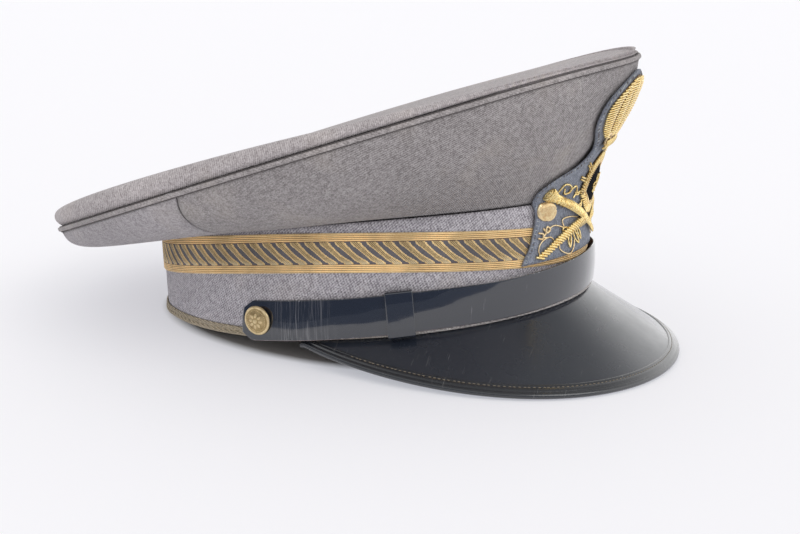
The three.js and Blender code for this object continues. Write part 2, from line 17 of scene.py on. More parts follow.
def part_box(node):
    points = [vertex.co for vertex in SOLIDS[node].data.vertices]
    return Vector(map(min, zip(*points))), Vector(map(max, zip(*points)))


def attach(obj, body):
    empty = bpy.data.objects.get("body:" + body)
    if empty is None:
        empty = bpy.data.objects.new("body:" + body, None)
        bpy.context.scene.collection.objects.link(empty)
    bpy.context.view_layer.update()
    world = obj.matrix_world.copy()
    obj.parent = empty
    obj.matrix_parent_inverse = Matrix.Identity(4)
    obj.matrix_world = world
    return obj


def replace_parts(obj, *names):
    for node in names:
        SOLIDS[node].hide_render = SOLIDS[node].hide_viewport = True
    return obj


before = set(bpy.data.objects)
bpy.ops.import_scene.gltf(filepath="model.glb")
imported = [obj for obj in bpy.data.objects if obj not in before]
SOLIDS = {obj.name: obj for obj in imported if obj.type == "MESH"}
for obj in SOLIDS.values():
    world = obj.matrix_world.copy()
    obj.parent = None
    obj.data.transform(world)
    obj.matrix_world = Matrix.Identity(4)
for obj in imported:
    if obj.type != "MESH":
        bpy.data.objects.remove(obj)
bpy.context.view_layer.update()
ROOT = "root"
chance = random.Random(7)

# %% [markdown]
# ## The camera
# The photograph looks at the wearer's right side from a little in front and above. The camera is set by its
# place and by two of its directions, from which the third follows, so its small roll is kept as well.

# %% Place the camera
CAMERA_PLACE = Vector((-0.5638, -0.2085, 0.1845))
CAMERA_FORWARD = Vector((0.9150, 0.3120, -0.2559))
CAMERA_RIGHT = Vector((0.3331, -0.9418, 0.0433))
SENSOR_WIDTH = 36.0
LENS = 56.9
NEAR_CLIP = 0.01
camera_data = bpy.data.cameras.new("camera")
camera_data.sensor_width = SENSOR_WIDTH
camera_data.lens = LENS
camera_data.clip_start = NEAR_CLIP
camera = bpy.data.objects.new("camera", camera_data)
bpy.context.scene.collection.objects.link(camera)
bpy.context.scene.camera = camera

forward = CAMERA_FORWARD.normalized()
right = (CAMERA_RIGHT - forward * CAMERA_RIGHT.dot(forward)).normalized()
up = right.cross(forward)
camera.matrix_world = Matrix.Translation(CAMERA_PLACE) @ Matrix((right, up, -forward)).transposed().to_4x4()
print("camera looks along", tuple(round(n, 3) for n in forward))

# %% [markdown]
# ## Helpers for finishes
# Every finish starts as one shader, and its patterns are added as nodes. The first helper makes a node and
# fills its sockets with numbers or links. The others name what is done most, which keeps each finish short
# to read.

# %% Define the node helpers


def node(tree, kind, inputs=None, **settings):
    made = tree.nodes.new("ShaderNode" + kind)
    for key, value in settings.items():
        setattr(made, key, value)
    for key, value in (inputs or {}).items():
        socket = made.inputs[key]
        if isinstance(value, bpy.types.NodeSocket):
            tree.links.new(value, socket)
        else:
            socket.default_value = value
    return made


def shader_of(made):
    return next(n for n in made.node_tree.nodes if n.type == "BSDF_PRINCIPLED")


def finish(name, **sockets):
    """A new finish, its node tree and its shader, with some of the shader's sockets set."""
    made = bpy.data.materials.new(name)
    made.use_nodes = True
    shader = shader_of(made)
    for key, value in sockets.items():
        shader.inputs[key.replace("_", " ")].default_value = value
    return made, made.node_tree, shader


def plain(name, colour, roughness, **sockets):
    return finish(name, Base_Color=(*colour, 1), Roughness=roughness, **sockets)[0]


def object_space(tree):
    return node(tree, "TexCoord").outputs["Object"]


def cloth_map(tree):
    return node(tree, "UVMap", uv_map="weave").outputs["UV"]


def ramp(tree, value, stops):
    made = node(tree, "ValToRGB", {"Fac": value})
    points = made.color_ramp.elements
    while len(points) < len(stops):
        points.new(0.5)
    for point, (place, colour) in zip(points, stops):
        point.position = place
        point.color = (*colour, 1.0)
    return made.outputs["Color"]


def grey(level):
    return (level, level, level)


def fade(tree, value, low, high, first=0.0, last=1.0):
    """A grey that goes from a first level to a last one while the value goes from low to high."""
    return ramp(tree, value, [(low, grey(first)), (high, grey(last))])


def worked(tree, kind, first, second=0.0):
    return node(tree, "Math", {0: first, 1: second}, operation=kind).outputs[0]


def times(tree, first, second):
    return worked(tree, "MULTIPLY", first, second)


def plus(tree, first, second):
    return worked(tree, "ADD", first, second)


def mingled(tree, first, second, share):
    """Two patterns added up, the second with a share of the weight."""
    return plus(tree, times(tree, first, 1.0 - share), times(tree, second, share))


def blended(tree, kind, factor, first, second):
    made = node(tree, "Mix", {0: factor, 6: first, 7: second}, data_type="RGBA", blend_type=kind)
    return made.outputs[2]


def stretched(tree, place, turns, scales):
    return node(tree, "Mapping", {"Vector": place, "Rotation": turns, "Scale": scales}).outputs[0]


def grain(tree, place, scale, detail=3.0, roughness=0.6):
    made = node(tree, "TexNoise", {"Vector": place, "Scale": scale, "Detail": detail, "Roughness": roughness})
    return made.outputs["Fac"]


def raised(tree, shader, height, strength, distance):
    bump = node(tree, "Bump", {"Height": height, "Strength": strength, "Distance": distance})
    tree.links.new(bump.outputs["Normal"], shader.inputs["Normal"])


# %% [markdown]
# ## The studio
# A pale table fills the view. It glows a little, a painted fill light that keeps the shadows on it pale, and
# the glow is cut off in an oval under the cap, which paints a dark shadow there.
# The sky gives most of the light, as in a light tent, and a broad soft sun in front of the cap adds a
# little. Lacquer shows what stands round it, so for reflections alone there is a dark room low down on the
# camera's side, and a dark floor where the pale table ends.

# %% Build the table, lamps and world
TABLE_SIZE = 12.0
TABLE_DROP = 0.0003
SHADE_HALF_WIDTH = 0.080
SHADE_HALF_LENGTH = 0.106
SHADE_EDGE = 0.5
SHADE_FROM = 0.455
TABLE_EDGE = -0.27
DARK_FLOOR = 3.0
DARK_FLOOR_RISE = 0.0006
SUN_FROM = Vector((-0.42, -1.05, 1.0))
SUN_STRENGTH = 0.55
SUN_SPREAD = math.radians(38)
SKY_STRENGTH = 0.97
ROOM = (0.17, 0.20, 0.28)
HORIZON = 1.35
OVERHEAD = 0.42


def square(name, half_size, place):
    """A level square with its middle at a place."""
    shape = bmesh.new()
    bmesh.ops.create_grid(shape, x_segments=1, y_segments=1, size=half_size)
    data = bpy.data.meshes.new(name)
    shape.to_mesh(data)
    shape.free()
    made = bpy.data.objects.new(name, data)
    made.location = place
    bpy.context.scene.collection.objects.link(made)
    return made


table = square("table", TABLE_SIZE / 2, (0.0, 0.0, -TABLE_DROP))
table_finish, tree, shader = finish("table_white", Base_Color=(0.50, 0.485, 0.47, 1), Roughness=0.8,
                                    Specular_IOR_Level=0.2, Emission_Color=(0.41, 0.42, 0.46, 1))
# The glow fades out in an oval round the band's footprint: a painted shadow under the cap.
to_oval = (SHADE_EDGE / SHADE_HALF_WIDTH, SHADE_EDGE / SHADE_HALF_LENGTH, 0.0)
spot = stretched(tree, object_space(tree), (0.0, 0.0, 0.0), to_oval)
apart = node(tree, "VectorMath", {0: spot}, operation="LENGTH").outputs["Value"]
glow_cut_by_painted_shadow = fade(tree, apart, SHADE_FROM, SHADE_EDGE)
tree.links.new(glow_cut_by_painted_shadow, shader.inputs["Emission Strength"])
table.data.materials.append(table_finish)

sun_data = bpy.data.lights.new("sun", "SUN")
sun_data.energy = SUN_STRENGTH
sun_data.angle = SUN_SPREAD
sun = bpy.data.objects.new("sun", sun_data)
sun.rotation_mode = "QUATERNION"
sun.rotation_quaternion = (-SUN_FROM).to_track_quat("-Z", "Y")
bpy.context.scene.collection.objects.link(sun)

world = bpy.data.worlds.new("studio")
bpy.context.scene.world = world
world.use_nodes = True
sky = world.node_tree
direction = node(sky, "TexCoord").outputs["Generated"]
ways = node(sky, "SeparateXYZ", {"Vector": direction}).outputs
low_down = fade(sky, ways["Z"], 0.30, 0.46, 1.0, 0.0)
near_side = fade(sky, times(sky, ways["X"], -1.0), 0.05, 0.30)
in_room = times(sky, low_down, near_side)
tent = fade(sky, ways["Z"], 0.42, 0.80, HORIZON, OVERHEAD)
seen = blended(sky, "MIX", in_room, tent, (*ROOM, 1.0))
SKY_STEPS = [(0.0, (1.30, 1.30, 1.34)), (0.35, (1.12, 1.115, 1.14)), (0.75, (0.93, 0.925, 0.93))]
soft = ramp(sky, ways["Z"], SKY_STEPS)
gloss = node(sky, "LightPath").outputs["Is Glossy Ray"]
background = next(n for n in sky.nodes if n.type == "BACKGROUND")
sky.links.new(blended(sky, "MIX", gloss, soft, seen), background.inputs["Color"])
background.inputs["Strength"].default_value = SKY_STRENGTH

dark_floor = square("dark_floor", DARK_FLOOR, (TABLE_EDGE - DARK_FLOOR, 0.0, DARK_FLOOR_RISE))
floor_finish, _, _ = finish("room_floor", Base_Color=(0, 0, 0, 1), Emission_Color=(*ROOM, 1),
                            Emission_Strength=1.0)
dark_floor.data.materials.append(floor_finish)
for ray in ("camera", "diffuse", "transmission", "volume_scatter", "shadow"):
    setattr(dark_floor, "visible_" + ray, False)
bpy.context.scene.view_settings.view_transform = "Standard"
print("table", TABLE_SIZE, "m across, finishes", len(bpy.data.materials))

# %% [markdown]
# ## The cap's own frame
# The cap is easiest to think of upright, in millimetres, with its band level. It lies tipped back on the
# rear of its band, so each point of a new piece is worked out upright and then laid by one matrix.

# %% Define the band's oval
MM = 0.001
TAU = 2 * math.pi
RESTING_TILT = math.radians(7.8)
RESTING_PLACE = Vector((0.0, -3.269, 14.386))
LIE = Matrix.Scale(MM, 4) @ Matrix.Translation(RESTING_PLACE) @ Matrix.Rotation(-RESTING_TILT, 4, "X")
UPRIGHT = LIE.inverted()
BAND_LENGTH = 106.0
BAND_WIDTH = 80.3
BAND_NARROWING = 0.047
BAND_WALL = 3.0
SIDES = {"right": 1, "left": -1}


def mix(first, second, share):
    return first + (second - first) * share


def smooth(share):
    share = min(1.0, max(0.0, share))
    return share * share * (3.0 - 2.0 * share)


def outward(turn, length, width):
    return Vector((-math.sin(turn) / width, -math.cos(turn) / length, 0.0)).normalized()


def on_band(turn, rise, out=0.0):
    """A point at an angle round the band, 0 at the front and a quarter turn at the wearer's right."""
    length = BAND_LENGTH - BAND_NARROWING * rise
    width = BAND_WIDTH - BAND_NARROWING * rise
    base = Vector((-width * math.sin(turn), -length * math.cos(turn), rise))
    return base + outward(turn, length, width) * out


ARC_STEPS = 720
arc = [0.0]
for count in range(ARC_STEPS):
    chord = on_band(TAU * (count + 1) / ARC_STEPS, 0.0) - on_band(TAU * count / ARC_STEPS, 0.0)
    arc.append(arc[-1] + chord.length)
BAND_ROUND = arc[-1]


def along_band(turn):
    """The length round the band from the front to an angle."""
    whole, part = divmod(turn / TAU, 1.0)
    low = min(ARC_STEPS - 1, int(part * ARC_STEPS))
    return whole * BAND_ROUND + mix(arc[low], arc[low + 1], part * ARC_STEPS - low)


def turn_at(length):
    """The angle at a length round the band from the front."""
    whole, rest = divmod(length, BAND_ROUND)
    low = min(ARC_STEPS - 1, bisect.bisect_right(arc, rest) - 1)
    return TAU * (whole + (low + (rest - arc[low]) / (arc[low + 1] - arc[low])) / ARC_STEPS)


print("band", round(BAND_ROUND), "mm round")

# %% [markdown]
# ## Pieces
# A piece is either a smooth copy of its solid or a closed profile that is spun round and then laid along
# the cap. Both keep a map of their own cloth in millimetres, so that twill and braid follow the surface.

# %% Define how a piece is made
WORK_RING = 100.0
SAME_CORNER = 2e-6
PAIR_ANGLE = math.radians(30)
PAIR_SHAPE = math.radians(100)


def piece(name, shape, finishes, *solids, slot=None, levels=0, sharp=None):
    """An object from a bmesh, with optional creases at edges sharper than an angle and live subdivision."""
    if sharp is not None:
        crease = shape.edges.layers.float.get("crease_edge") or shape.edges.layers.float.new("crease_edge")
        for edge in shape.edges:
            if len(edge.link_faces) == 2 and edge.calc_face_angle() > math.radians(sharp):
                edge[crease] = 1.0
    for face in shape.faces:
        face.smooth = True
    data = bpy.data.meshes.new(name)
    shape.to_mesh(data)
    shape.free()
    for each in finishes if isinstance(finishes, (list, tuple)) else [finishes]:
        data.materials.append(each)
    made = bpy.data.objects.new(name, data)
    bpy.context.scene.collection.objects.link(made)
    if levels:
        rounding = made.modifiers.new("rounding", "SUBSURF")
        rounding.levels = rounding.render_levels = levels
    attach(made, ROOT)
    if solids:
        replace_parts(made, *solids)
    return made


def merged(name, where=None):
    """A solid's mesh with its corners joined, its triangles paired and the cloth map where(corner, near)."""
    shape = bmesh.new()
    shape.from_mesh(SOLIDS[name].data)
    bmesh.ops.remove_doubles(shape, verts=shape.verts, dist=SAME_CORNER)
    bmesh.ops.join_triangles(shape, faces=shape.faces, angle_face_threshold=PAIR_ANGLE,
                             angle_shape_threshold=PAIR_SHAPE)
    for old in list(shape.loops.layers.uv.values()):
        shape.loops.layers.uv.remove(old)
    if where:
        weave = shape.loops.layers.uv.new("weave")
        for face in shape.faces:
            near = UPRIGHT @ face.calc_center_median()
            for loop in face.loops:
                loop[weave].uv = where(UPRIGHT @ loop.vert.co, near)
    return shape


def laid(profile, steps, first, last, place, part_of=None):
    """A closed profile of (out, up) corners, spun between two angles and laid by place(turn, out, up)."""
    shape = bmesh.new()
    ring = abs(last - first - TAU) < 1e-6
    corners = [shape.verts.new((WORK_RING + out, 0.0, up)) for out, up in profile]
    sides = [shape.edges.new(pair) for pair in zip(corners, corners[1:] + corners[:1])]
    bmesh.ops.spin(shape, geom=corners + sides, cent=(0, 0, 0), axis=(0, 0, 1), angle=last - first,
                   steps=steps, use_merge=ring)
    if not ring:
        bmesh.ops.holes_fill(shape, edges=[edge for edge in shape.edges if edge.is_boundary], sides=0)
    weave = shape.loops.layers.uv.new("weave")

    def turned(co):
        angle = math.atan2(co.y, co.x)
        return angle + TAU if angle < -1e-5 else max(0.0, angle)

    for face in shape.faces:
        outs = [math.hypot(v.co.x, v.co.y) - WORK_RING for v in face.verts]
        ups = [v.co.z for v in face.verts]
        if part_of:
            face.material_index = part_of(sum(outs) / len(outs), sum(ups) / len(ups))
        angles = [turned(loop.vert.co) for loop in face.loops]
        wraps = max(angles) - min(angles) > math.pi and ring
        for loop, angle in zip(face.loops, angles):
            angle += TAU if wraps and angle < math.pi else 0.0
            loop[weave].uv = (along_band(first + angle), loop.vert.co.z)
    for vert in shape.verts:
        out = math.hypot(vert.co.x, vert.co.y) - WORK_RING
        vert.co = LIE @ place(first + turned(vert.co), out, vert.co.z)
    bmesh.ops.recalc_face_normals(shape, faces=shape.faces)
    return shape


def row_at(rows, at, column=1):
    """The value of a table's column between its rows, along a smooth curve through them."""
    places = [row[0] for row in rows]
    low = min(len(rows) - 2, max(0, bisect.bisect_right(places, at) - 1))
    span = places[low + 1] - places[low]

    def slope(index):
        before, after = max(0, index - 1), min(len(rows) - 1, index + 1)
        return (rows[after][column] - rows[before][column]) / (places[after] - places[before])

    share = min(1.0, max(0.0, (at - places[low]) / span))
    start, end = rows[low][column], rows[low + 1][column]
    swing = span * (slope(low) * share * (1 - share) ** 2 - slope(low + 1) * share ** 2 * (1 - share))
    return mix(start, end, smooth(share)) + swing


print("ways to make a piece: copy, spin")

# %% [markdown]
# ## Cloth
# The crown is a wool twill of mixed light and dark fibres, so close up it is a speckle and not one grey.
# Fine noise gives the speckle, broad noise the fading, and ribs on the cloth's own map give the twill. The
# band is of a coarser and paler twill, whose ribs are broken into grains.

# %% Make the cloth finishes
WAVE_PITCH = 0.3142


def ribs(tree, place, pitch, lean, break_up):
    """Slanting ribs a pitch apart, in millimetres of the cloth's own map."""
    turned = stretched(tree, place, (0.0, 0.0, math.radians(lean)), (1.0, 1.0, 1.0))
    waves = node(tree, "TexWave", {"Vector": turned, "Scale": WAVE_PITCH / pitch, "Distortion": break_up,
                                   "Detail": 2.0, "Detail Scale": 6.0})
    return waves.outputs["Fac"]


def cloth(name, dark, light, pitch, lean, rib_depth, bump, worn=(0.46, 0.40, 0.34), cross=0.0):
    """Speckled twill with slanting ribs and, where cross is given, a share of ribs across them."""
    made, tree, shader = finish(name, Roughness=0.95, Sheen_Weight=0.10, Sheen_Roughness=0.5)
    space = object_space(tree)
    weave = cloth_map(tree)
    fine = grain(tree, space, 1500.0, 2.0, 0.8)
    coarse = grain(tree, space, 520.0, 2.0, 0.7)
    flecks = mingled(tree, fine, coarse, 0.38)
    lines = ribs(tree, weave, pitch, lean, 1.6 + 1.4 * cross)
    if cross:
        lines = mingled(tree, lines, ribs(tree, weave, pitch * 1.5, lean + 80.0, 3.0), cross)
    mixed = plus(tree, flecks, times(tree, worked(tree, "SUBTRACT", lines, 0.5), rib_depth))
    fibres = ramp(tree, mixed, [(0.36, dark), (0.64, light)])
    fading = fade(tree, grain(tree, space, 16.0, 3.0), 0.35, 0.65, 0.90, 1.06)
    faded = blended(tree, "MULTIPLY", 1.0, fibres, fading)
    warm = fade(tree, grain(tree, space, 34.0, 2.0), 0.55, 0.80, 0.0, 0.28)
    tree.links.new(blended(tree, "MIX", warm, faded, (*worn, 1.0)), shader.inputs["Base Color"])
    relief = plus(tree, times(tree, lines, 1.2), flecks)
    raised(tree, shader, relief, bump, 0.00035)
    return made


crown_cloth = cloth("crown_cloth", (0.150, 0.134, 0.132), (0.430, 0.402, 0.400), 0.8, 58.0, 0.16, 0.5)
top_cloth = cloth("top_cloth", (0.240, 0.213, 0.212), (0.560, 0.518, 0.518), 0.8, 58.0, 0.10, 0.4)
rear_cloth = cloth("rear_cloth", (0.190, 0.172, 0.178), (0.520, 0.490, 0.505), 0.8, 58.0, 0.22, 0.6)
band_cloth = cloth("band_cloth", (0.200, 0.184, 0.202), (0.610, 0.582, 0.612), 0.9, -60.0, 0.24, 0.8,
                   cross=0.45)
welt_cloth = cloth("welt_cloth", (0.170, 0.153, 0.150), (0.450, 0.417, 0.412), 0.9, 50.0, 0.07, 0.5)
binding_cloth = cloth("binding_cloth", (0.26, 0.215, 0.145), (0.60, 0.505, 0.355), 0.7, 80.0, 0.22, 1.0)

FUZZ = [(0.38, (0.34, 0.31, 0.30)), (0.62, (0.74, 0.71, 0.68))]
tree = binding_cloth.node_tree
binding_colour = shader_of(binding_cloth).inputs["Base Color"]
tan = binding_colour.links[0].from_socket
space = object_space(tree)
to_rear = node(tree, "SeparateXYZ", {"Vector": space}).outputs["Y"]
at_front = fade(tree, plus(tree, to_rear, 0.5), 0.44, 0.51, 1.0, 0.0)
fuzz = ramp(tree, grain(tree, space, 1100.0, 3.0, 0.8), FUZZ)
tree.links.new(blended(tree, "MIX", at_front, tan, fuzz), binding_colour)
print("cloth finishes made")

# %% [markdown]
# ## The crown
# The crown has a top panel that rolls over its edge, a front panel that stands proud at the side seam, a
# rear panel and a covered welt between them. Smooth copies of the solids keep each panel exactly where it
# is. Thin dark cords fill the two grooves beside the welt: they are painted shade in the grooves.

# %% Dress the crown
CROWN_SPREAD = 1.55
CROWN_STRETCH = 1.3


def turn_of(point):
    return math.atan2(-point.x / BAND_WIDTH, -point.y / BAND_LENGTH)


def on_side(corner, near):
    """The side's cloth map, kept whole at the back by the angle of a near point."""
    turn = turn_of(corner)
    turn += TAU * round((turn_of(near) - turn) / TAU)
    return along_band(turn) * CROWN_SPREAD, corner.z * CROWN_STRETCH


def on_top(corner, near):
    return corner.x, corner.y


piece("crown_top_cloth", merged("crown_top", on_top), top_cloth, "crown_top", slot="crown_cloth", levels=2,
      sharp=60)
piece("crown_front_cloth", merged("crown_front_panel", on_side), crown_cloth, "crown_front_panel",
      slot="crown_cloth", levels=2, sharp=60)
piece("crown_rear_cloth", merged("crown_rear_panel", on_side), rear_cloth, "crown_rear_panel",
      slot="rear_cloth", levels=2, sharp=60)

CROWN_LENGTH = 141.6
CROWN_WIDTH = 127.8
CROWN_BACK = 8.5
CROWN_MIDDLE = 73.2
CROWN_SLOPE = math.radians(13.2)
CROWN_SIDE_RISE = 2.1
FRONT_DROP = 2.5
FRONT_SHARPNESS = 10
WELT_RADIUS = 1.1
WELT_PROUD = 0.4
CROWN_UP = Vector((0.0, math.sin(CROWN_SLOPE), math.cos(CROWN_SLOPE)))


def welt_line(turn):
    drop = FRONT_DROP * max(0.0, math.cos(turn)) ** FRONT_SHARPNESS
    back = -CROWN_LENGTH * math.cos(turn)
    rise = CROWN_MIDDLE - back * math.tan(CROWN_SLOPE) + CROWN_SIDE_RISE * math.sin(turn) ** 2 - drop
    return Vector((-CROWN_WIDTH * math.sin(turn), CROWN_BACK + back, rise))


def at_welt(turn, out, rise):
    way = outward(turn, CROWN_LENGTH, CROWN_WIDTH)
    return welt_line(turn) + way * (WELT_PROUD + out) + CROWN_UP * rise


def round_profile(radius, sides, out=0.0, rise=0.0):
    angles = [TAU * count / sides for count in range(sides)]
    return [(out + radius * math.cos(a), rise + radius * math.sin(a)) for a in angles]


WELT_PROFILE = [(-1.0, -0.7), (0.1, -1.1), (0.68, -0.8), (0.85, 0.0), (0.68, 0.8), (0.1, 1.1), (-1.0, 0.7)]
piece("crown_welt_cloth", laid(WELT_PROFILE, 240, 0.0, TAU, at_welt), welt_cloth, "crown_welt",
      slot="crown_cloth", levels=1)

dark_thread_and_groove_shade = plain("dark_thread_and_groove_shade", (0.135, 0.120, 0.117), 0.9)
GROOVE = WELT_RADIUS + 0.12
GROOVE_DEPTH = 0.34
GROOVE_SHADE_RADIUS = 0.20
# The dark cords in the grooves beside the welt are painted shade, not thread.
for side, rise in (("above", GROOVE), ("below", -GROOVE)):
    thread = round_profile(GROOVE_SHADE_RADIUS, 5, -GROOVE_DEPTH, rise)
    piece("welt_groove_shade_" + side, laid(thread, 180, 0.0, TAU, at_welt), dark_thread_and_groove_shade, slot="crown_cloth")
print("crown dressed")

# %% [markdown]
# ## The band and its binding
# The band is a plain wall of twill, nearly upright. Its lower edge is bound with a strip whose fold has
# worn to a tan lip at the back and to a pale fuzz at the front. Both are profiles spun round the band's
# oval.

# %% Dress the band and its binding
SIDE_DIP = 3.1
TOP_MIDDLE = 40.3
TOP_FRONT_RISE = 5.2
TOP_SIDE_RISE = 6.4
BINDING_HEIGHT = 2.9
BINDING_SEAT = 0.45
FLAT_ANGLE = 24.0
BLEND_ANGLE = 16.0


def lower_edge(turn):
    return -SIDE_DIP * math.sin(turn) ** 2


def band_top(turn):
    return TOP_MIDDLE + TOP_FRONT_RISE * math.cos(turn) + TOP_SIDE_RISE * math.sin(turn) ** 2


def from_front(turn):
    return math.degrees(math.acos(min(1.0, max(-1.0, math.cos(turn)))))


def resting_edge(turn, out=0.0):
    """The band's lower edge, which lies flat on the table at the back."""
    floor = (on_band(turn, 0.0, out).y - BAND_LENGTH) * math.tan(RESTING_TILT)
    blend = smooth((FLAT_ANGLE + BLEND_ANGLE - (180.0 - from_front(turn))) / BLEND_ANGLE)
    return mix(lower_edge(turn), floor, blend)


def at_band(turn, out, rise):
    low = resting_edge(turn) + BINDING_HEIGHT + BINDING_SEAT
    return on_band(turn, mix(low, band_top(turn), rise / TOP_MIDDLE), out)


band_profile = [(-BAND_WALL, 0.0), (-0.35, 0.0), (0.0, 0.5)]
band_profile += [(0.0, TOP_MIDDLE * share / 6) for share in range(1, 6)]
band_profile += [(0.0, TOP_MIDDLE - 0.5), (-0.35, TOP_MIDDLE), (-BAND_WALL, TOP_MIDDLE)]
piece("band_twill", laid(band_profile, 144, 0.0, TAU, at_band), band_cloth, "band", slot="band_cloth",
      levels=1)

LIP_PROFILE = [(-3.6, 0.0), (-0.6, 0.0), (0.50, 0.12), (1.10, 0.60), (1.20, 1.15), (0.90, 1.65),
               (0.32, 1.90), (0.32, 2.05), (0.80, 2.35), (0.95, 2.95), (0.80, 3.60), (0.35, 4.15),
               (0.03, 4.25), (0.03, 3.05), (-3.6, 3.05)]
BINDING_FUZZ = 0.16
BINDING_WAVE = 0.22


def at_binding(turn, out, rise):
    along = along_band(turn)
    fuzz = BINDING_FUZZ * noise.noise(Vector((along * 0.7, rise * 0.9, 3.0))) if out > 0 else 0.0
    wave = BINDING_WAVE * noise.noise(Vector((along * 0.09, rise * 0.2, 8.0))) if rise > 0.5 else 0.0
    low = resting_edge(turn, min(0.0, out))
    return on_band(turn, low + max(0.0, rise + wave), out + fuzz + wave * 0.5)


piece("band_binding_cloth", laid(LIP_PROFILE, 480, 0.0, TAU, at_binding), binding_cloth, "band_binding",
      slot="edge_binding", levels=1)
print("band dressed")

# %% [markdown]
# ## The braid
# The braid round the band has two ribbed gold edges, and between them gold blocks on a dark ground, cut by
# slanting dark bars that are widest at half their height and run flatter towards the bottom. The ribs are
# in the spun profile. Each block is a small grid with stepped sides, like the woven original, laid over the
# dark ground.

# %% Weave the braid
BRAID_BOTTOM = 17.0
BRAID_SIDE_RISE = 9.5
BRAID_HEIGHT = 17.2
BRAID_INNER = 0.3
EDGE_STRIPE = 3.6
RIB_COUNT = 4
BORDER = 0.30
GROUND_INSET = 0.15


def braid_low(turn):
    return BRAID_BOTTOM + BRAID_SIDE_RISE * math.sin(turn) ** 2


def at_braid(turn, out, rise):
    return on_band(turn, braid_low(turn) + rise, out)


def gold_thread(name, dark, light, pitch, lean, metal, rough, bump, dots=False, cream=None):
    """Metal thread in ribs or dots on the braid's own map, tarnished in patches and, with cream, paler at the
    foot."""
    made, tree, shader = finish(name, Metallic=metal, Roughness=rough)
    weave = cloth_map(tree)
    space = object_space(tree)
    threads = ribs(tree, weave, pitch, lean, 0.6)
    if dots:
        threads = times(tree, threads, ribs(tree, weave, pitch, lean + 90.0, 0.6))
    specks = grain(tree, space, 1400.0, 2.0, 0.8)
    tone = mingled(tree, threads, specks, 0.55)
    colour = ramp(tree, tone, [(0.30, dark), (0.66, light)])
    patches = fade(tree, grain(tree, space, 60.0, 3.0), 0.38, 0.62, 0.82, 1.10)
    if cream:
        rise = node(tree, "SeparateXYZ", {"Vector": weave}).outputs["Y"]
        paler = fade(tree, worked(tree, "DIVIDE", rise, BRAID_HEIGHT), 0.23, 0.36, 0.40, 0.0)
        colour = blended(tree, "MIX", paler, colour, (*cream, 1.0))
    tree.links.new(blended(tree, "MULTIPLY", 1.0, colour, patches), shader.inputs["Base Color"])
    raised(tree, shader, tone, bump, 0.00025)
    return made


stripe_gold = gold_thread("stripe_gold", (0.90, 0.52, 0.20), (1.0, 0.84, 0.47), 0.45, 0.0, 0.05, 0.45, 0.5)
groove_brown = gold_thread("groove_brown", (0.11, 0.045, 0.015), (0.28, 0.13, 0.045), 0.45, 0.0, 0.0, 0.7,
                           0.5)
block_gold = gold_thread("block_gold", (0.22, 0.145, 0.06), (0.80, 0.60, 0.30), 0.62, 45.0, 0.15, 0.5, 0.9,
                         dots=True, cream=(0.90, 0.76, 0.50))
# The step gold is a brighter copy of the block gold: a painted highlight on the blocks' stepped edges.
step_gold_painted_highlight = gold_thread("step_gold_painted_highlight", (0.40, 0.24, 0.08), (1.0, 0.76, 0.38), 0.5, 0.0, 0.2, 0.4, 0.6)
ground_dark = gold_thread("ground_dark", (0.060, 0.056, 0.064), (0.165, 0.155, 0.170), 0.4, 90.0, 0.0, 0.8,
                          0.6)

RIB_WIDE = (EDGE_STRIPE - BORDER) / RIB_COUNT
braid_profile = [(BRAID_INNER, 0.0), (0.60, 0.02), (0.62, BORDER - 0.04)]
for base in (BORDER, BRAID_HEIGHT - EDGE_STRIPE):
    for rib in range(RIB_COUNT):
        foot = base + RIB_WIDE * rib
        braid_profile += [(0.42, foot + 0.12), (0.84, foot + RIB_WIDE * 0.3), (0.94, foot + RIB_WIDE * 0.5),
                          (0.84, foot + RIB_WIDE * 0.7), (0.42, foot + RIB_WIDE - 0.12)]
    if base == BORDER:
        low = EDGE_STRIPE + GROUND_INSET
        high = BRAID_HEIGHT - EDGE_STRIPE - GROUND_INSET
        braid_profile += [(0.52, mix(low, high, share / 4)) for share in range(5)]
braid_profile += [(0.62, BRAID_HEIGHT - BORDER + 0.04), (0.60, BRAID_HEIGHT - 0.02),
                  (BRAID_INNER, BRAID_HEIGHT)]


def braid_part(out, rise):
    if EDGE_STRIPE + 0.1 < rise < BRAID_HEIGHT - EDGE_STRIPE - 0.1:
        return 1
    return 0 if out > 0.60 else 2


piece("braid_stripes", laid(braid_profile, 240, 0.0, TAU, at_braid, braid_part),
      [stripe_gold, ground_dark, groove_brown], "galloon", slot="braid")

BLOCK_COUNT = 84
BLOCK_ROWS = 15
BLOCK_COLUMNS = 4
BLOCK_HEIGHT = BRAID_HEIGHT - 2 * EDGE_STRIPE - 2 * GROUND_INSET
BLOCK_PITCH = BAND_ROUND / BLOCK_COUNT
BLOCK_RUN = 10.6
BLOCK_SEAT = 0.50
BLOCK_RISE = 0.42
STEPPED_SHARE = 0.75
BAR_ROWS = [(0.0, 2.7), (0.06, 2.1), (0.25, 2.6), (0.5, 3.1), (0.72, 2.8), (0.88, 1.8), (0.94, 2.1),
            (1.0, 2.8)]
BLOCK_SIDES = (0.0, 0.2, 0.5, 0.8, 1.0)


def bar_side(share, kind):
    """How far a bar's left or right side has run at a share of the height, 0 at the top and 1 at the foot."""
    run = BLOCK_RUN * (0.80 * share + 0.20 * share ** 3)
    half = row_at(BAR_ROWS, share) / 2
    return run + (half if kind == "right" else -half)


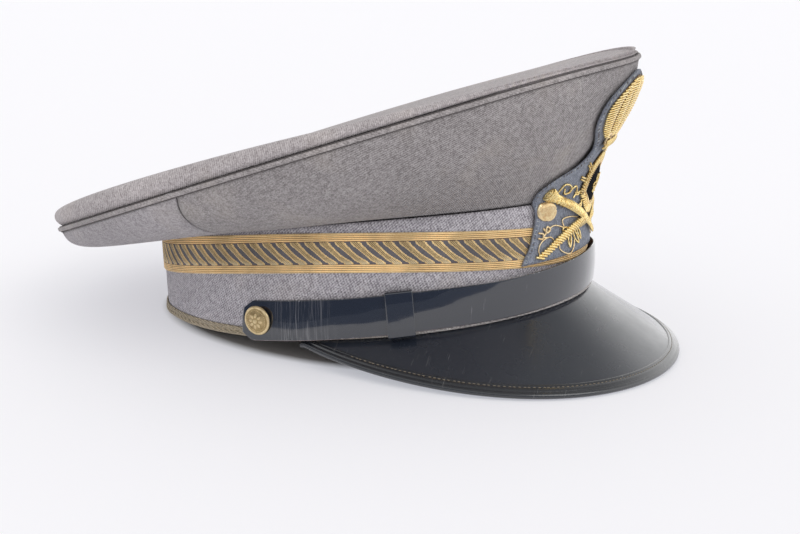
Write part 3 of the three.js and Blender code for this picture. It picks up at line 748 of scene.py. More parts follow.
blocks = bmesh.new()
weave = blocks.loops.layers.uv.new("weave")
for count in range(BLOCK_COUNT):
    made = bmesh.ops.create_grid(blocks, x_segments=BLOCK_COLUMNS, y_segments=BLOCK_ROWS * 2, size=0.5)
    faces = {face for vert in made["verts"] for face in vert.link_faces}
    placed = {}
    for face in faces:
        # The side columns of each block take the brighter step gold, a painted highlight.
        face.material_index = 1 if abs(face.calc_center_median().x) > 0.25 else 0
    for vert in made["verts"]:
        share = 0.5 - vert.co.y
        across = BLOCK_SIDES[round((vert.co.x + 0.5) * BLOCK_COLUMNS)]
        step = min(BLOCK_ROWS - 1, int(share * BLOCK_ROWS + 1e-6)) / (BLOCK_ROWS - 1)
        stepped = mix(share, step, STEPPED_SHARE)
        start = bar_side(stepped, "right")
        end = bar_side(stepped, "left") + BLOCK_PITCH
        length = count * BLOCK_PITCH - mix(start, end, across)
        arch = 0.35 + 0.65 * math.sin(math.pi * across) ** 0.6 if 0 < across < 1 else 0.0
        rise = EDGE_STRIPE + GROUND_INSET + BLOCK_HEIGHT * (1.0 - share)
        placed[vert] = (length, rise)
        vert.co = LIE @ at_braid(turn_at(length), BLOCK_SEAT + BLOCK_RISE * arch, rise)
    for face in faces:
        for loop in face.loops:
            loop[weave].uv = placed[loop.vert]
        middle = UPRIGHT @ face.calc_center_median()
        face.normal_update()
        if face.normal.dot(LIE.to_3x3() @ Vector((middle.x, middle.y, 0.0))) < 0:
            face.normal_flip()
piece("braid_blocks", blocks, [block_gold, step_gold_painted_highlight], slot="braid")
print("braid of", BLOCK_COUNT, "blocks,", round(BLOCK_PITCH, 1), "mm apart")

# %% [markdown]
# ## The peak
# The peak is a stiff sheet of black leather with fine grain, specks and scratches. Its edge is folded in a
# strip about 4 mm wide, sewn down by a row of tan stitches, and ends in a rolled rim. The sheet and the
# fold are both profiles laid along the same curves as the solid.

# %% Shape the peak and its folded edge
PEAK_REACH = 52.6
PEAK_FULLNESS = 1.94
PEAK_ROUNDNESS = 0.765
PEAK_FLARE = 0.61
PEAK_END = math.radians(92.3)
PEAK_LEATHER = 1.8
SLOPE_FRONT = math.radians(39.0)
SLOPE_SIDE = math.radians(38.0)
ROOT_INSIDE = 2.5
ROOT_FLANGE = 0.1
ROOT_FAN = 0.1
RIM_INSET = 3.4
SMALL_GAP = 0.3


def peak_reach(turn):
    rest = max(0.0, 1.0 - abs(turn / PEAK_END) ** PEAK_FULLNESS)
    return max(0.0, PEAK_REACH * rest ** PEAK_ROUNDNESS - RIM_INSET)


def peak_way(turn):
    sideways = math.sin(turn)
    slope = mix(SLOPE_FRONT, SLOPE_SIDE, sideways ** 2)
    ahead = math.cos(slope) * (1.0 + ROOT_FAN * sideways ** 2)
    return Vector((-PEAK_FLARE * sideways, -ahead, -math.sin(slope)))


def peak_face(turn, share):
    root = on_band(turn, 0.0, -ROOT_INSIDE * max(0.0, 1.0 - share / ROOT_FLANGE))
    root.z = lower_edge(turn) - SMALL_GAP
    return root + peak_way(turn) * (peak_reach(turn) * max(0.0, (share - ROOT_FLANGE) / (1.0 - ROOT_FLANGE)))


def peak_ways(turn, share):
    """The way round the peak, the way out to its rim and the way up from its face."""
    small = 1e-3
    along = (peak_face(turn + small, share) - peak_face(turn - small, share)).normalized()
    way = peak_way(turn).normalized()
    above = along.cross(way).normalized()
    return along, above.cross(along).normalized(), above


SHEET_SCALE = 50.0


def at_sheet(turn, depth, rise):
    share = rise / SHEET_SCALE
    ripple = 0.10 * noise.noise(peak_face(turn, share) * 0.05)
    return peak_face(turn, share) + peak_ways(turn, max(share, ROOT_FLANGE))[2] * (depth + ripple)


PEAK_SIDE = PEAK_END * 0.985
SHEET_SHARES = (0.0, 0.06, 0.10, 0.16, 0.3, 0.45, 0.6, 0.75, 0.88, 0.96, 1.0)
sheet_profile = [(0.0, share * SHEET_SCALE) for share in SHEET_SHARES]
sheet_profile += [(-PEAK_LEATHER, share * SHEET_SCALE) for share in reversed(SHEET_SHARES)]


DUST = (0.30, 0.29, 0.28, 1.0)


def leather(name, base, rough, grain_scale, bump, dust, coat=0.0):
    """Leather: a fine grain, faint scratches, and pale dust and specks in the worn places."""
    made, tree, shader = finish(name, Roughness=rough, Coat_Weight=coat, Coat_Roughness=0.16)
    space = object_space(tree)
    pebbles = node(tree, "TexVoronoi", {"Vector": space, "Scale": grain_scale, "Randomness": 1.0})
    specks = fade(tree, grain(tree, space, 900.0, 3.0, 0.8), 0.66, 0.74)
    lines = grain(tree, stretched(tree, space, (0.3, 0.5, 0.9), (1.0, 14.0, 1.0)), 75.0, 3.0, 0.7)
    scratches = fade(tree, lines, 0.66, 0.73)
    worn = times(tree, worked(tree, "MAXIMUM", specks, scratches), dust)
    colour = blended(tree, "MIX", worn, (*base, 1.0), DUST)
    tree.links.new(colour, shader.inputs["Base Color"])
    haze = fade(tree, grain(tree, space, 22.0, 4.0), 0.35, 0.65, rough * 0.65, rough * 1.75)
    tree.links.new(haze, shader.inputs["Roughness"])
    relief = worked(tree, "SUBTRACT", pebbles.outputs["Distance"], times(tree, scratches, 0.4))
    raised(tree, shader, relief, bump, 0.0002)
    return made


peak_leather = leather("peak_leather", (0.015, 0.019, 0.028), 0.26, 1500.0, 0.16, 0.20, 1.0)
rim_leather = leather("rim_leather", (0.012, 0.014, 0.018), 0.22, 1200.0, 0.22, 0.35, 1.0)
piece("peak_leather", laid(sheet_profile, 150, -PEAK_SIDE, PEAK_SIDE, at_sheet), peak_leather, "peak",
      slot="peak_leather", levels=1, sharp=60)

FOLD_WIDTH = 3.6
FOLD_PROFILE = [(-0.02, -FOLD_WIDTH), (0.34, -FOLD_WIDTH), (0.52, -FOLD_WIDTH + 0.3), (0.50, -2.6),
                (0.36, -2.0), (0.56, -1.3), (0.66, -0.6), (0.60, 0.1), (0.34, 0.65), (0.52, 1.2), (0.50, 1.8),
                (0.20, 2.5), (-0.40, 2.92), (-1.10, 2.98), (-1.75, 2.62), (-2.20, 1.95), (-2.28, 1.0),
                (-2.24, -FOLD_WIDTH), (-1.82, -FOLD_WIDTH), (-1.84, 0.05), (-0.02, 0.05)]


def at_fold(turn, height_above, beyond):
    along, out, above = peak_ways(turn, 1.0)
    reach = max(peak_reach(turn), 0.05)
    inward = max(0.0, min(-beyond, reach * 0.9))
    inner = peak_face(turn, 1.0 - inward / reach * (1.0 - ROOT_FLANGE))
    return inner + out * max(0.0, beyond) + above * height_above


piece("peak_edge_fold", laid(FOLD_PROFILE, 260, -PEAK_END, PEAK_END, at_fold), rim_leather, "peak_binding",
      slot="rim_leather", levels=1, sharp=75)
print("peak reaches", PEAK_REACH, "mm")

# %% [markdown]
# ## Stitches
# A stitch is a short thread between two holes. Each one is a small ball with few faces, drawn out along the
# seam, and all the stitches of a seam are one piece.

# %% Sew the peak's edge
STITCH_SIDES = 6


def stitches(name, places, half_length, radius, finish_used, slot):
    """Small drawn-out balls at (point, along, above) places in the cap's own frame."""
    shape = bmesh.new()
    for point, along, above in places:
        across = along.cross(above).normalized()
        turned = Matrix((along * half_length, across * radius, along.cross(across).normalized() * radius))
        placed = Matrix.Translation(point) @ turned.transposed().to_4x4()
        bmesh.ops.create_uvsphere(shape, u_segments=STITCH_SIDES, v_segments=4, radius=1.0,
                                  matrix=LIE @ placed)
    bmesh.ops.recalc_face_normals(shape, faces=shape.faces)
    return piece(name, shape, finish_used, slot=slot)


thread_tan = plain("thread_tan", (0.20, 0.165, 0.12), 0.7)
STITCH_PITCH = 2.1
STITCH_FROM_EDGE = 2.0
STITCH_HEIGHT = 0.44
STITCH_HALF = 0.72
STITCH_RADIUS = 0.2
SEWN_SHARE = 0.90
SEAM_STEPS = 600
seam_turns = [PEAK_END * SEWN_SHARE * (2 * n / SEAM_STEPS - 1) for n in range(SEAM_STEPS + 1)]
seam = [at_fold(turn, STITCH_HEIGHT, -STITCH_FROM_EDGE) for turn in seam_turns]
places = []
run = 0.0
for turn, spot, before in zip(seam_turns[1:], seam[1:], seam):
    run += (spot - before).length
    if run >= STITCH_PITCH:
        run -= STITCH_PITCH
        places.append((spot, (spot - before).normalized(), peak_ways(turn, 1.0)[2]))
stitches("peak_stitches", places, STITCH_HALF, STITCH_RADIUS, thread_tan, "rim_leather")
print("peak stitches", len(places))

# %% [markdown]
# ## The chin strap
# The strap is patent leather, black and glossy on the outside and raw brown behind. It is a little domed
# and turns from facing up at the button to facing down in front, so the dark room shows in its upper part
# and the pale table in its lower part. Round each side of it slides a leather loop.

# %% Shape the strap and its loops
STRAP_HALF = 8.65
STRAP_THICK = 1.6
STRAP_END = math.radians(107.5)
STRAP_CUT = 4.0 / BAND_WIDTH
STRAP_END_WIDTH = 0.62
STRAP_WOBBLE = 0.07
STRAP_ROWS = [(0, 2.2, 11.3), (20, 2.3, 10.0), (40, 2.4, 8.7), (60, 2.2, 8.2), (80, 2.0, 6.8), (95, 1.3, 5.8),
              (110, 1.0, 5.0)]
TWIST_ROWS = [(0, -8.0), (40, -8.0), (54, -3.6), (67, 0.6), (75, 2.6), (84, 5.0), (92, 8.0), (110, 10.0)]


def beside_strap(turn, out, rise):
    """A point at a distance out from the strap's back and at a height over its middle line."""
    degrees = from_front(turn)
    lean = -rise * math.tan(math.radians(row_at(TWIST_ROWS, degrees)))
    return on_band(turn, row_at(STRAP_ROWS, degrees, 2) + rise, row_at(STRAP_ROWS, degrees, 1) + out + lean)


def at_strap(turn, out, share):
    past = max(0.0, abs(turn) - (STRAP_END - STRAP_CUT)) / STRAP_CUT
    half = STRAP_HALF * mix(1.0, STRAP_END_WIDTH, min(1.0, past))
    if out > 1.0:
        out += STRAP_WOBBLE * noise.noise(Vector((along_band(turn) * 0.08, share * 0.9, 1.0)))
    return beside_strap(turn, out, share * half)


LACQUER = (0.006, 0.009, 0.017, 1.0)
SCRATCHED = (0.46, 0.45, 0.46, 1.0)
BARE_EDGE = (0.42, 0.30, 0.28, 1.0)
MARKS_WITHIN = 200.0


def patent(name, wear):
    """Black lacquer: nearly a mirror, a little uneven, with fine scratches and pale chips at its edges."""
    made, tree, shader = finish(name, Roughness=0.10, IOR=1.6, Coat_Weight=1.0, Coat_Roughness=0.03,
                                Coat_IOR=1.55)
    space = object_space(tree)
    weave = cloth_map(tree)
    lengthways, share = node(tree, "SeparateXYZ", {"Vector": weave}).outputs[:2]
    edge = fade(tree, worked(tree, "ABSOLUTE", share), 0.93, 0.99)
    chips = fade(tree, grain(tree, space, 420.0, 3.0, 0.8), 0.60, 0.66)
    drawn_out = stretched(tree, space, (0.2, 0.1, 0.4), (9.0, 9.0, 1.0))
    lines = fade(tree, grain(tree, drawn_out, 60.0, 4.0, 0.7), 0.655, 0.70)
    patches = fade(tree, grain(tree, space, 26.0, 2.0), 0.50, 0.62)
    near_end = worked(tree, "DIVIDE", worked(tree, "ABSOLUTE", lengthways), MARKS_WITHIN)
    rubbed = ramp(tree, near_end, [(0.66, grey(0.0)), (0.72, grey(1.0)), (0.78, grey(1.0)),
                                   (0.83, grey(0.0))])
    upright = stretched(tree, weave, (0.0, 0.0, 0.0), (1.1, 0.30, 1.0))
    fine_lines = fade(tree, grain(tree, upright, 1.0, 3.0, 0.7), 0.50, 0.74)
    fine_marks = times(tree, times(tree, fine_lines, rubbed), 0.42)
    scratches = times(tree, lines, patches)
    worn = times(tree, times(tree, edge, chips), wear)
    marks = worked(tree, "MAXIMUM", worn, times(tree, scratches, 0.28))
    colour = blended(tree, "MIX", worked(tree, "MAXIMUM", marks, fine_marks), LACQUER, SCRATCHED)
    lower = fade(tree, times(tree, share, -1.0), 0.965, 0.985, 0.0, 0.85)
    colour = blended(tree, "MIX", times(tree, lower, wear), colour, BARE_EDGE)
    tree.links.new(colour, shader.inputs["Base Color"])
    dents = plus(tree, grain(tree, space, 42.0, 3.0, 0.5), times(tree, grain(tree, space, 170.0), 0.12))
    uneven = plus(tree, dents, times(tree, scratches, -0.05))
    raised(tree, shader, uneven, 0.30, 0.0006)
    return made


patent_black = patent("patent_black", 0.7)
raw_leather = leather("raw_leather", (0.085, 0.045, 0.028), 0.62, 900.0, 0.5, 0.25)
outer = [0.985, 0.95, 0.86, 0.72, 0.55, 0.36, 0.18, 0.0]
dome = [(1.12 + 0.48 * (1 - share ** 2), share) for share in outer]
strap_profile = [(0.0, 0.96), (0.25, 1.0), (0.95, 1.0)] + dome
strap_profile += [(out, -share) for out, share in reversed(dome[:-1])]
strap_profile += [(0.95, -1.0), (0.25, -1.0), (0.0, -0.96), (0.0, 0.0)]


def strap_part(out, share):
    return 1 if out < 0.2 and abs(share) < 0.99 else 0


piece("strap_leather", laid(strap_profile, 302, -STRAP_END, STRAP_END, at_strap, strap_part),
      [patent_black, raw_leather], "chin_strap", slot="strap_leather", levels=1, sharp=60)

KEEPER_ANGLE = math.radians(67.3)
KEEPER_HALF = math.radians(3.2)
KEEPER_THICK = 1.1
KEEPER_BULGE = 0.25
KEEPER_CUTS = 4
KEEPER_STEPS_OUT = 2
KEEPER_STEPS_UP = 8


def keeper_shape(side):
    """A loop round the strap: a rounded frame of four sides, widened to the loop's own width."""
    shape = bmesh.new()
    inner_high = STRAP_HALF + SMALL_GAP
    low_out, high_out = -SMALL_GAP, STRAP_THICK + SMALL_GAP
    corners = [(low_out, -inner_high), (high_out, -inner_high), (high_out, inner_high), (low_out, inner_high)]
    loop_line = []
    for index, (out, rise) in enumerate(corners):
        after = corners[(index + 1) % len(corners)]
        count = KEEPER_STEPS_OUT if index % 2 == 0 else KEEPER_STEPS_UP
        loop_line += [(mix(out, after[0], n / count), mix(rise, after[1], n / count)) for n in range(count)]
    middle_out = (low_out + high_out) / 2
    rings = []
    for skin in (0.0, KEEPER_THICK):
        ring = []
        for out, rise in loop_line:
            lift_rise = math.copysign(skin, rise) if abs(rise) >= inner_high - 1e-6 else 0.0
            lift_out = skin * (1.0 if out > middle_out else -1.0) * (0.5 if lift_rise else 1.0)
            bulge = KEEPER_BULGE * (1 - (rise / inner_high) ** 2) if out > middle_out else 0.0
            ring.append(shape.verts.new((0.0, out + lift_out + bulge, rise + lift_rise)))
        rings.append(ring)
    size = len(loop_line)
    for n in range(size):
        after = (n + 1) % size
        shape.faces.new((rings[0][n], rings[0][after], rings[1][after], rings[1][n]))
    grown = bmesh.ops.extrude_face_region(shape, geom=list(shape.faces))
    for vert in [made for made in grown["geom"] if isinstance(made, bmesh.types.BMVert)]:
        vert.co.x = 1.0
    drawn = [edge for edge in shape.edges if abs(edge.verts[0].co.x - edge.verts[1].co.x) > 0.5]
    bmesh.ops.subdivide_edges(shape, edges=drawn, cuts=KEEPER_CUTS, use_grid_fill=True)
    weave = shape.loops.layers.uv.new("weave")
    for face in shape.faces:
        for loop in face.loops:
            loop[weave].uv = (loop.vert.co.x * 8.0, (loop.vert.co.x * 2 - 1) * 0.94)
    for vert in shape.verts:
        turn = side * (KEEPER_ANGLE + (vert.co.x * 2 - 1) * KEEPER_HALF)
        vert.co = LIE @ beside_strap(turn, vert.co.y, vert.co.z)
    bmesh.ops.recalc_face_normals(shape, faces=shape.faces)
    return shape


for name, side in SIDES.items():
    piece("keeper_loop_" + name, keeper_shape(side), patent_black, "keeper_" + name, slot="strap_leather",
          levels=2, sharp=70)
print("strap", round(along_band(STRAP_END) * 2), "mm long")

# %% [markdown]
# ## The buttons
# Each button is a dull gilt dome inside a raised rim, with a plain rosette in the middle. It keeps the
# place and size of its solid. The rosette is eight petals round a boss, inside a ring of small beads.

# %% Dress the buttons


def gilt(name, dark, light, rough, scale, metal=0.85):
    """Old gilt: bright where it is rubbed, brown where the dirt has stayed."""
    made, tree, shader = finish(name, Metallic=metal, Roughness=rough)
    space = object_space(tree)
    tarnish = ramp(tree, grain(tree, space, scale, 4.0, 0.7), [(0.34, dark), (0.62, light)])
    tree.links.new(tarnish, shader.inputs["Base Color"])
    raised(tree, shader, grain(tree, space, scale * 3.0, 2.0), 0.35, 0.0002)
    return made


button_gilt = gilt("button_gilt", (0.30, 0.21, 0.09), (0.52, 0.39, 0.20), 0.42, 420.0, 0.75)
button_bright = gilt("button_bright", (0.56, 0.43, 0.22), (0.85, 0.68, 0.40), 0.32, 420.0, 0.8)
BUTTON_ANGLE = math.radians(102.5)
BUTTON_HEIGHT = 3.2
BUTTON_STEPS = 48
BUTTON_PROFILE = [(0.0, 0.0), (5.8, 0.0), (6.5, 0.35), (6.6, 0.9), (6.3, 1.35), (5.9, 1.45), (5.5, 1.3),
                  (4.5, 1.7), (3.0, 2.2), (1.5, 2.5), (0.0, 2.6)]
FIELD_RADIUS = 5.6
BOSS_RISE = 2.45
BOSS_SIZE = (1.1, 1.1, 0.6)
PETALS = 8
PETAL_PLACE = (2.35, 0.0, 2.15)
PETAL_SIZE = (1.25, 0.72, 0.5)
BEADS = 36
BEAD_PLACE = (4.7, 0.0, 1.6)
BEAD_RADIUS = 0.27


def ball(shape, place, size, around, up):
    """A ball of a size along each of its axes."""
    bmesh.ops.create_uvsphere(shape, u_segments=around, v_segments=up, radius=1.0,
                              matrix=place @ Matrix.Diagonal((*size, 1.0)))


def wreath(shape, count, place, size, around, up):
    """Balls set round the button's middle, the first of them at a place."""
    for n in range(count):
        ball(shape, Matrix.Rotation(TAU * n / count, 4, "Z") @ Matrix.Translation(place), size, around, up)


def button_shape(side):
    low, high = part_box("button_" + ("right" if side > 0 else "left"))
    middle = (low + high) / 2
    turn = side * BUTTON_ANGLE
    way = (LIE.to_3x3() @ outward(turn, BAND_LENGTH, BAND_WIDTH)).normalized()
    turned = way.to_track_quat("Z", "Y").to_matrix().to_4x4()
    place = Matrix.Translation(middle - way * BUTTON_HEIGHT * MM / 2) @ turned @ Matrix.Scale(MM, 4)
    shape = bmesh.new()
    line = [shape.verts.new((out, 0.0, rise)) for out, rise in BUTTON_PROFILE]
    edges = [shape.edges.new(pair) for pair in zip(line, line[1:])]
    bmesh.ops.spin(shape, geom=line + edges, cent=(0, 0, 0), axis=(0, 0, 1), angle=TAU,
                   steps=BUTTON_STEPS, use_merge=True)
    bmesh.ops.remove_doubles(shape, verts=shape.verts, dist=1e-4)
    field = set(shape.faces)
    ball(shape, Matrix.Translation((0.0, 0.0, BOSS_RISE)), BOSS_SIZE, 12, 8)
    wreath(shape, PETALS, PETAL_PLACE, PETAL_SIZE, 10, 6)
    wreath(shape, BEADS, BEAD_PLACE, (BEAD_RADIUS,) * 3, 6, 4)
    for face in shape.faces:
        middle_out = face.calc_center_median().xy.length
        face.material_index = 0 if face in field and middle_out < FIELD_RADIUS else 1
    bmesh.ops.transform(shape, matrix=place, verts=shape.verts)
    bmesh.ops.recalc_face_normals(shape, faces=shape.faces)
    return shape


for name, side in SIDES.items():
    piece("button_gilt_" + name, button_shape(side), [button_gilt, button_bright], "button_" + name,
          slot="button_metal")
print("buttons dressed")

# %% [markdown]
# ## The badge
# The badge is worked in gold wire on a blue-grey felt. Real bullion is a tight coil of wire, cut to length
# and sewn side by side over a thin padding. Here each length is a thin tube that lies low over the felt
# where its solid is, so the work stays as flat as the real one. The felt's edge is oversewn with pale and
# dark stitches.

# %% Find the badge's surface
BACKING_OUT = 200.0
HALVINGS = 14


def tree_of(*names):
    shape = bmesh.new()
    for name in names:
        shape.from_mesh(SOLIDS[name].data)
    bmesh.ops.transform(shape, matrix=UPRIGHT, verts=shape.verts)
    made = BVHTree.FromBMesh(shape)
    shape.free()
    return made


BACKING_TREE = tree_of("badge_backing")
UNDER_TREE = tree_of("crown_front_panel", "band")
BACKING_LIFT = 2.6


def hit(tree, across, rise):
    spot, _, _, _ = tree.ray_cast(Vector((-across, -BACKING_OUT, rise)), Vector((0.0, 1.0, 0.0)))
    return spot


def on_felt(across, rise):
    spot = hit(BACKING_TREE, across, rise)
    if spot is None:
        spot = hit(UNDER_TREE, across, rise)
        spot = spot + Vector((0.0, -BACKING_LIFT, 0.0)) if spot else Vector((-across, -BAND_LENGTH, rise))
    return spot


def felt_way(across, rise, reach=2.2):
    """The way out from the felt, taken over a short distance so that facets don't show."""
    to_side = on_felt(across + reach, rise) - on_felt(across - reach, rise)
    to_top = on_felt(across, rise + reach) - on_felt(across, rise - reach)
    way = to_side.cross(to_top).normalized()
    return way if way.y < 0 else -way


def on_badge(across, rise, out):
    return on_felt(across, rise) + felt_way(across, rise) * out


def half_width(tree, rise, widest=46.0):
    """How far to the side a piece of the badge reaches at a height."""
    low, high = 0.0, widest
    for _ in range(HALVINGS):
        middle = (low + high) / 2
        low, high = (middle, high) if hit(tree, middle, rise) else (low, middle)
    return low


print("felt half width at 37 mm", round(half_width(BACKING_TREE, 37.0), 1))

# %% Make the felt and the black oval
felt_blue = cloth("felt_blue", (0.105, 0.117, 0.145), (0.290, 0.312, 0.368), 1.4, 20.0, 0.05, 0.6,
                  worn=(0.26, 0.27, 0.29))
velvet_black = plain("velvet_black", (0.006, 0.006, 0.008), 0.9, Specular_IOR_Level=0.15)
OVAL_RISE = 50.0
DISC_TALL = 9.3
DISC_WIDE = 8.1
DISC_OUT = 2.9
DISC_SEAT = 0.2
DISC_BACK = -0.08


def across_badge(corner, near):
    return corner.x, corner.z


piece("badge_felt", merged("badge_backing", across_badge), felt_blue, "badge_backing", slot="badge_cloth",
      levels=1, sharp=60)
dome = bmesh.new()
bmesh.ops.create_uvsphere(dome, u_segments=32, v_segments=12, radius=1.0)
for vert in dome.verts:
    out = DISC_SEAT + DISC_OUT * max(DISC_BACK, vert.co.z)
    vert.co = LIE @ on_badge(vert.co.x * DISC_WIDE, OVAL_RISE + vert.co.y * DISC_TALL, out)
bmesh.ops.recalc_face_normals(dome, faces=dome.faces)
piece("badge_oval_black", dome, velvet_black, "badge_disc", slot="badge_black")
print("felt and oval made")

# %% Lay the paddings under the wire
wire_gold = gilt("wire_gold", (0.74, 0.47, 0.14), (1.0, 0.84, 0.42), 0.27, 900.0)
wire_fine = gilt("wire_fine", (0.78, 0.52, 0.25), (1.0, 0.84, 0.52), 0.35, 900.0)
# The padding is real, but its dark brown is painted shade: it shows between the wires and in the plume's
# grooves as their shadow.
padding_painted_shade = gilt("padding_painted_shade", (0.07, 0.035, 0.010), (0.26, 0.15, 0.045), 0.6, 700.0, 0.3)
PADDING_SHARES = {"flame": 0.35, "collar": 0.60, "ring": 0.28, "pad_right": 0.22, "pad_left": 0.22}


def pressed(name, share):
    """A smooth copy of a solid, pressed towards the felt to a share of its height."""
    shape = merged(name)
    for vert in shape.verts:
        spot = UPRIGHT @ vert.co
        base, way = on_felt(-spot.x, spot.z), felt_way(-spot.x, spot.z)
        vert.co = LIE @ (spot + way * ((share - 1.0) * (spot - base).dot(way)))
    return shape


for name, share in PADDING_SHARES.items():
    padding = wire_fine if name.startswith("pad") else padding_painted_shade
    piece("badge_" + name + "_padding", pressed("badge_" + name, share), padding, "badge_" + name,
          slot="badge_wire", levels=1, sharp=60)
print("paddings", len(PADDING_SHARES))

# %% Define the wire work
WIRE_ROUNDING = 2


def wires(name, lines, radius, finish_used=wire_gold):
    """Thin tubes along lines of points in the cap's own frame, made a mesh."""
    curve = bpy.data.curves.new(name, "CURVE")
    curve.dimensions = "3D"
    curve.bevel_depth = radius * MM
    curve.bevel_resolution = WIRE_ROUNDING
    curve.use_fill_caps = True
    for line in lines:
        spline = curve.splines.new("POLY")
        spline.points.add(len(line) - 1)
        for spot, point in zip(spline.points, line):
            spot.co = (*(LIE @ point), 1.0)
    holder = bpy.data.objects.new(name + "_line", curve)
    bpy.context.scene.collection.objects.link(holder)
    bpy.context.view_layer.update()
    data = bpy.data.meshes.new_from_object(holder.evaluated_get(bpy.context.evaluated_depsgraph_get()))
    bpy.data.objects.remove(holder)
    shape = bmesh.new()
    shape.from_mesh(data)
    return piece(name, shape, finish_used, slot="badge_wire")


def size_at(size, share):
    return size(share) if callable(size) else size


def satin(path, half, pitch, rise_at, slant=0.0, ring=False, points=5):
    """Lengths of wire side by side across a path of (across, rise) places. Half the width is a number or a
    function of the share, and rise_at(share, side) is how far out the wire lies from side -1 to side 1."""
    lengths = [0.0]
    loop_path = path + path[:1] if ring else path
    for a, b in zip(loop_path, loop_path[1:]):
        lengths.append(lengths[-1] + math.dist(a, b))
    total = lengths[-1]
    count = max(2, round(total / pitch))
    made = []
    for n in range(count):
        at = total * (n + (0.0 if ring else 0.5)) / count
        low = min(len(loop_path) - 2, bisect.bisect_right(lengths, at) - 1)
        share = (at - lengths[low]) / (lengths[low + 1] - lengths[low])
        a, b = loop_path[low], loop_path[low + 1]
        along = Vector((b[0] - a[0], b[1] - a[1])).normalized()
        beside = Vector((along.y, -along.x))
        middle = Vector((mix(a[0], b[0], share), mix(a[1], b[1], share)))
        reach = (beside + along * slant) * size_at(half, at / total)
        line = []
        for k in range(points):
            side = mix(-1.0, 1.0, k / (points - 1))
            spot = middle + reach * side
            line.append(on_badge(spot.x, spot.y, rise_at(at / total, side)))
        made.append(line)
    return made


SEAT = 0.75
WIRE_ROUND_OVER = 0.92
WIRE_CLEAR = 0.05


def over(radius, pressed_to, flatness=1.0):
    """How far out wire lies over a round padding that is pressed to a share of its height."""
    def rise_at(share, side):
        round_over = 1.0 + math.sqrt(max(0.0, 1.0 - WIRE_ROUND_OVER * side ** 2))
        return pressed_to * (SEAT + size_at(radius, share) * flatness * round_over) + WIRE_CLEAR
    return rise_at


def through(spots, each=6):
    """A fine line through places, along a smooth curve."""
    last = len(spots) - 1
    columns = [[(n, spot[k]) for n, spot in enumerate(spots)] for k in range(len(spots[0]))]
    return [tuple(row_at(column, n / each) for column in columns) for n in range(last * each + 1)]


print("wire work ready")

# %% [markdown]
# ## The plume
# The plume is a fan of five lobes that spring from a collar. In each lobe short curved lengths of wire are
# stacked like a ladder, higher in the middle than in the grooves between the lobes, where the dark padding
# shows as painted shade.

# %% Work the plume and its collar
FLAME_TREE = tree_of("badge_flame")
LOBE_SIDES = (-1.0, -0.60, -0.20, 0.20, 0.60, 1.0)
PLUME_LOW = 71.8
PLUME_HIGH = 96.2
PLUME_PITCH = 1.02
PLUME_SPREAD = 1.6
PLUME_LEAST = 1.5
PLUME_SUNK = 0.05
PLUME_POINTS = 7
lines = []
for row in range(round((PLUME_HIGH - PLUME_LOW) / PLUME_PITCH)):
    rise = PLUME_LOW + row * PLUME_PITCH
    half = half_width(FLAME_TREE, rise)
    if half < PLUME_LEAST:
        continue
    half += PLUME_SPREAD
    thick = mix(1.8, 0.9, (rise - PLUME_LOW) / (PLUME_HIGH - PLUME_LOW))
    low_out = PADDING_SHARES["flame"] * (SEAT + thick) - PLUME_SUNK
    for lobe, (left, right_side) in enumerate(zip(LOBE_SIDES, LOBE_SIDES[1:])):
        line = []
        for k in range(PLUME_POINTS):
            part = k / (PLUME_POINTS - 1)
            side = mix(left, right_side, mix(0.06, 0.94, part))
            bulge = math.sin(math.pi * part)
            lift = 0.5 * bulge - 0.3 * abs(side) + 0.25 * (lobe % 2)
            line.append(on_badge(side * half, min(PLUME_HIGH, rise + lift), low_out + 0.75 * bulge))
        lines.append(line)
wires("badge_plume_wires", lines, 0.42)
print("plume wires", len(lines))

COLLAR_RISE = 68.6
COLLAR_HALF = 12.0
collar_path = [(mix(-COLLAR_HALF, COLLAR_HALF, n / 12), COLLAR_RISE) for n in range(13)]
collar = satin(collar_path, 1.6, 1.0, over(1.4, PADDING_SHARES["collar"]), 0.5)
neck = satin([(0.0, 63.8), (0.0, 65.6), (0.0, 67.4)], 2.2, 0.9, lambda share, side: 1.2)
wires("badge_collar_wires", collar + neck, 0.50)
BOW = [(4.5, 67.2), (8.0, 71.0), (12.6, 73.8), (15.4, 72.4), (13.0, 69.4), (9.0, 67.6)]
bow_lines = [[on_badge(side * across, rise, 1.5) for across, rise in through(BOW)] for side in SIDES.values()]
wires("badge_collar_bows", bow_lines, 0.45, wire_fine)

# %% [markdown]
# ## The ring and its oval
# The ring is worked in slanting lengths with a ladder of small stitches along its inner edge. It frames a
# black oval, whose middle has a plain rosette of wire.

# %% Work the ring
OVAL_TALL = 11.6
OVAL_WIDE = 10.4
RING_RADIUS = 1.8


def oval(tall, wide, count=48):
    turns = [TAU * n / count for n in range(count)]
    return [(wide * math.sin(turn), OVAL_RISE + tall * math.cos(turn)) for turn in turns]


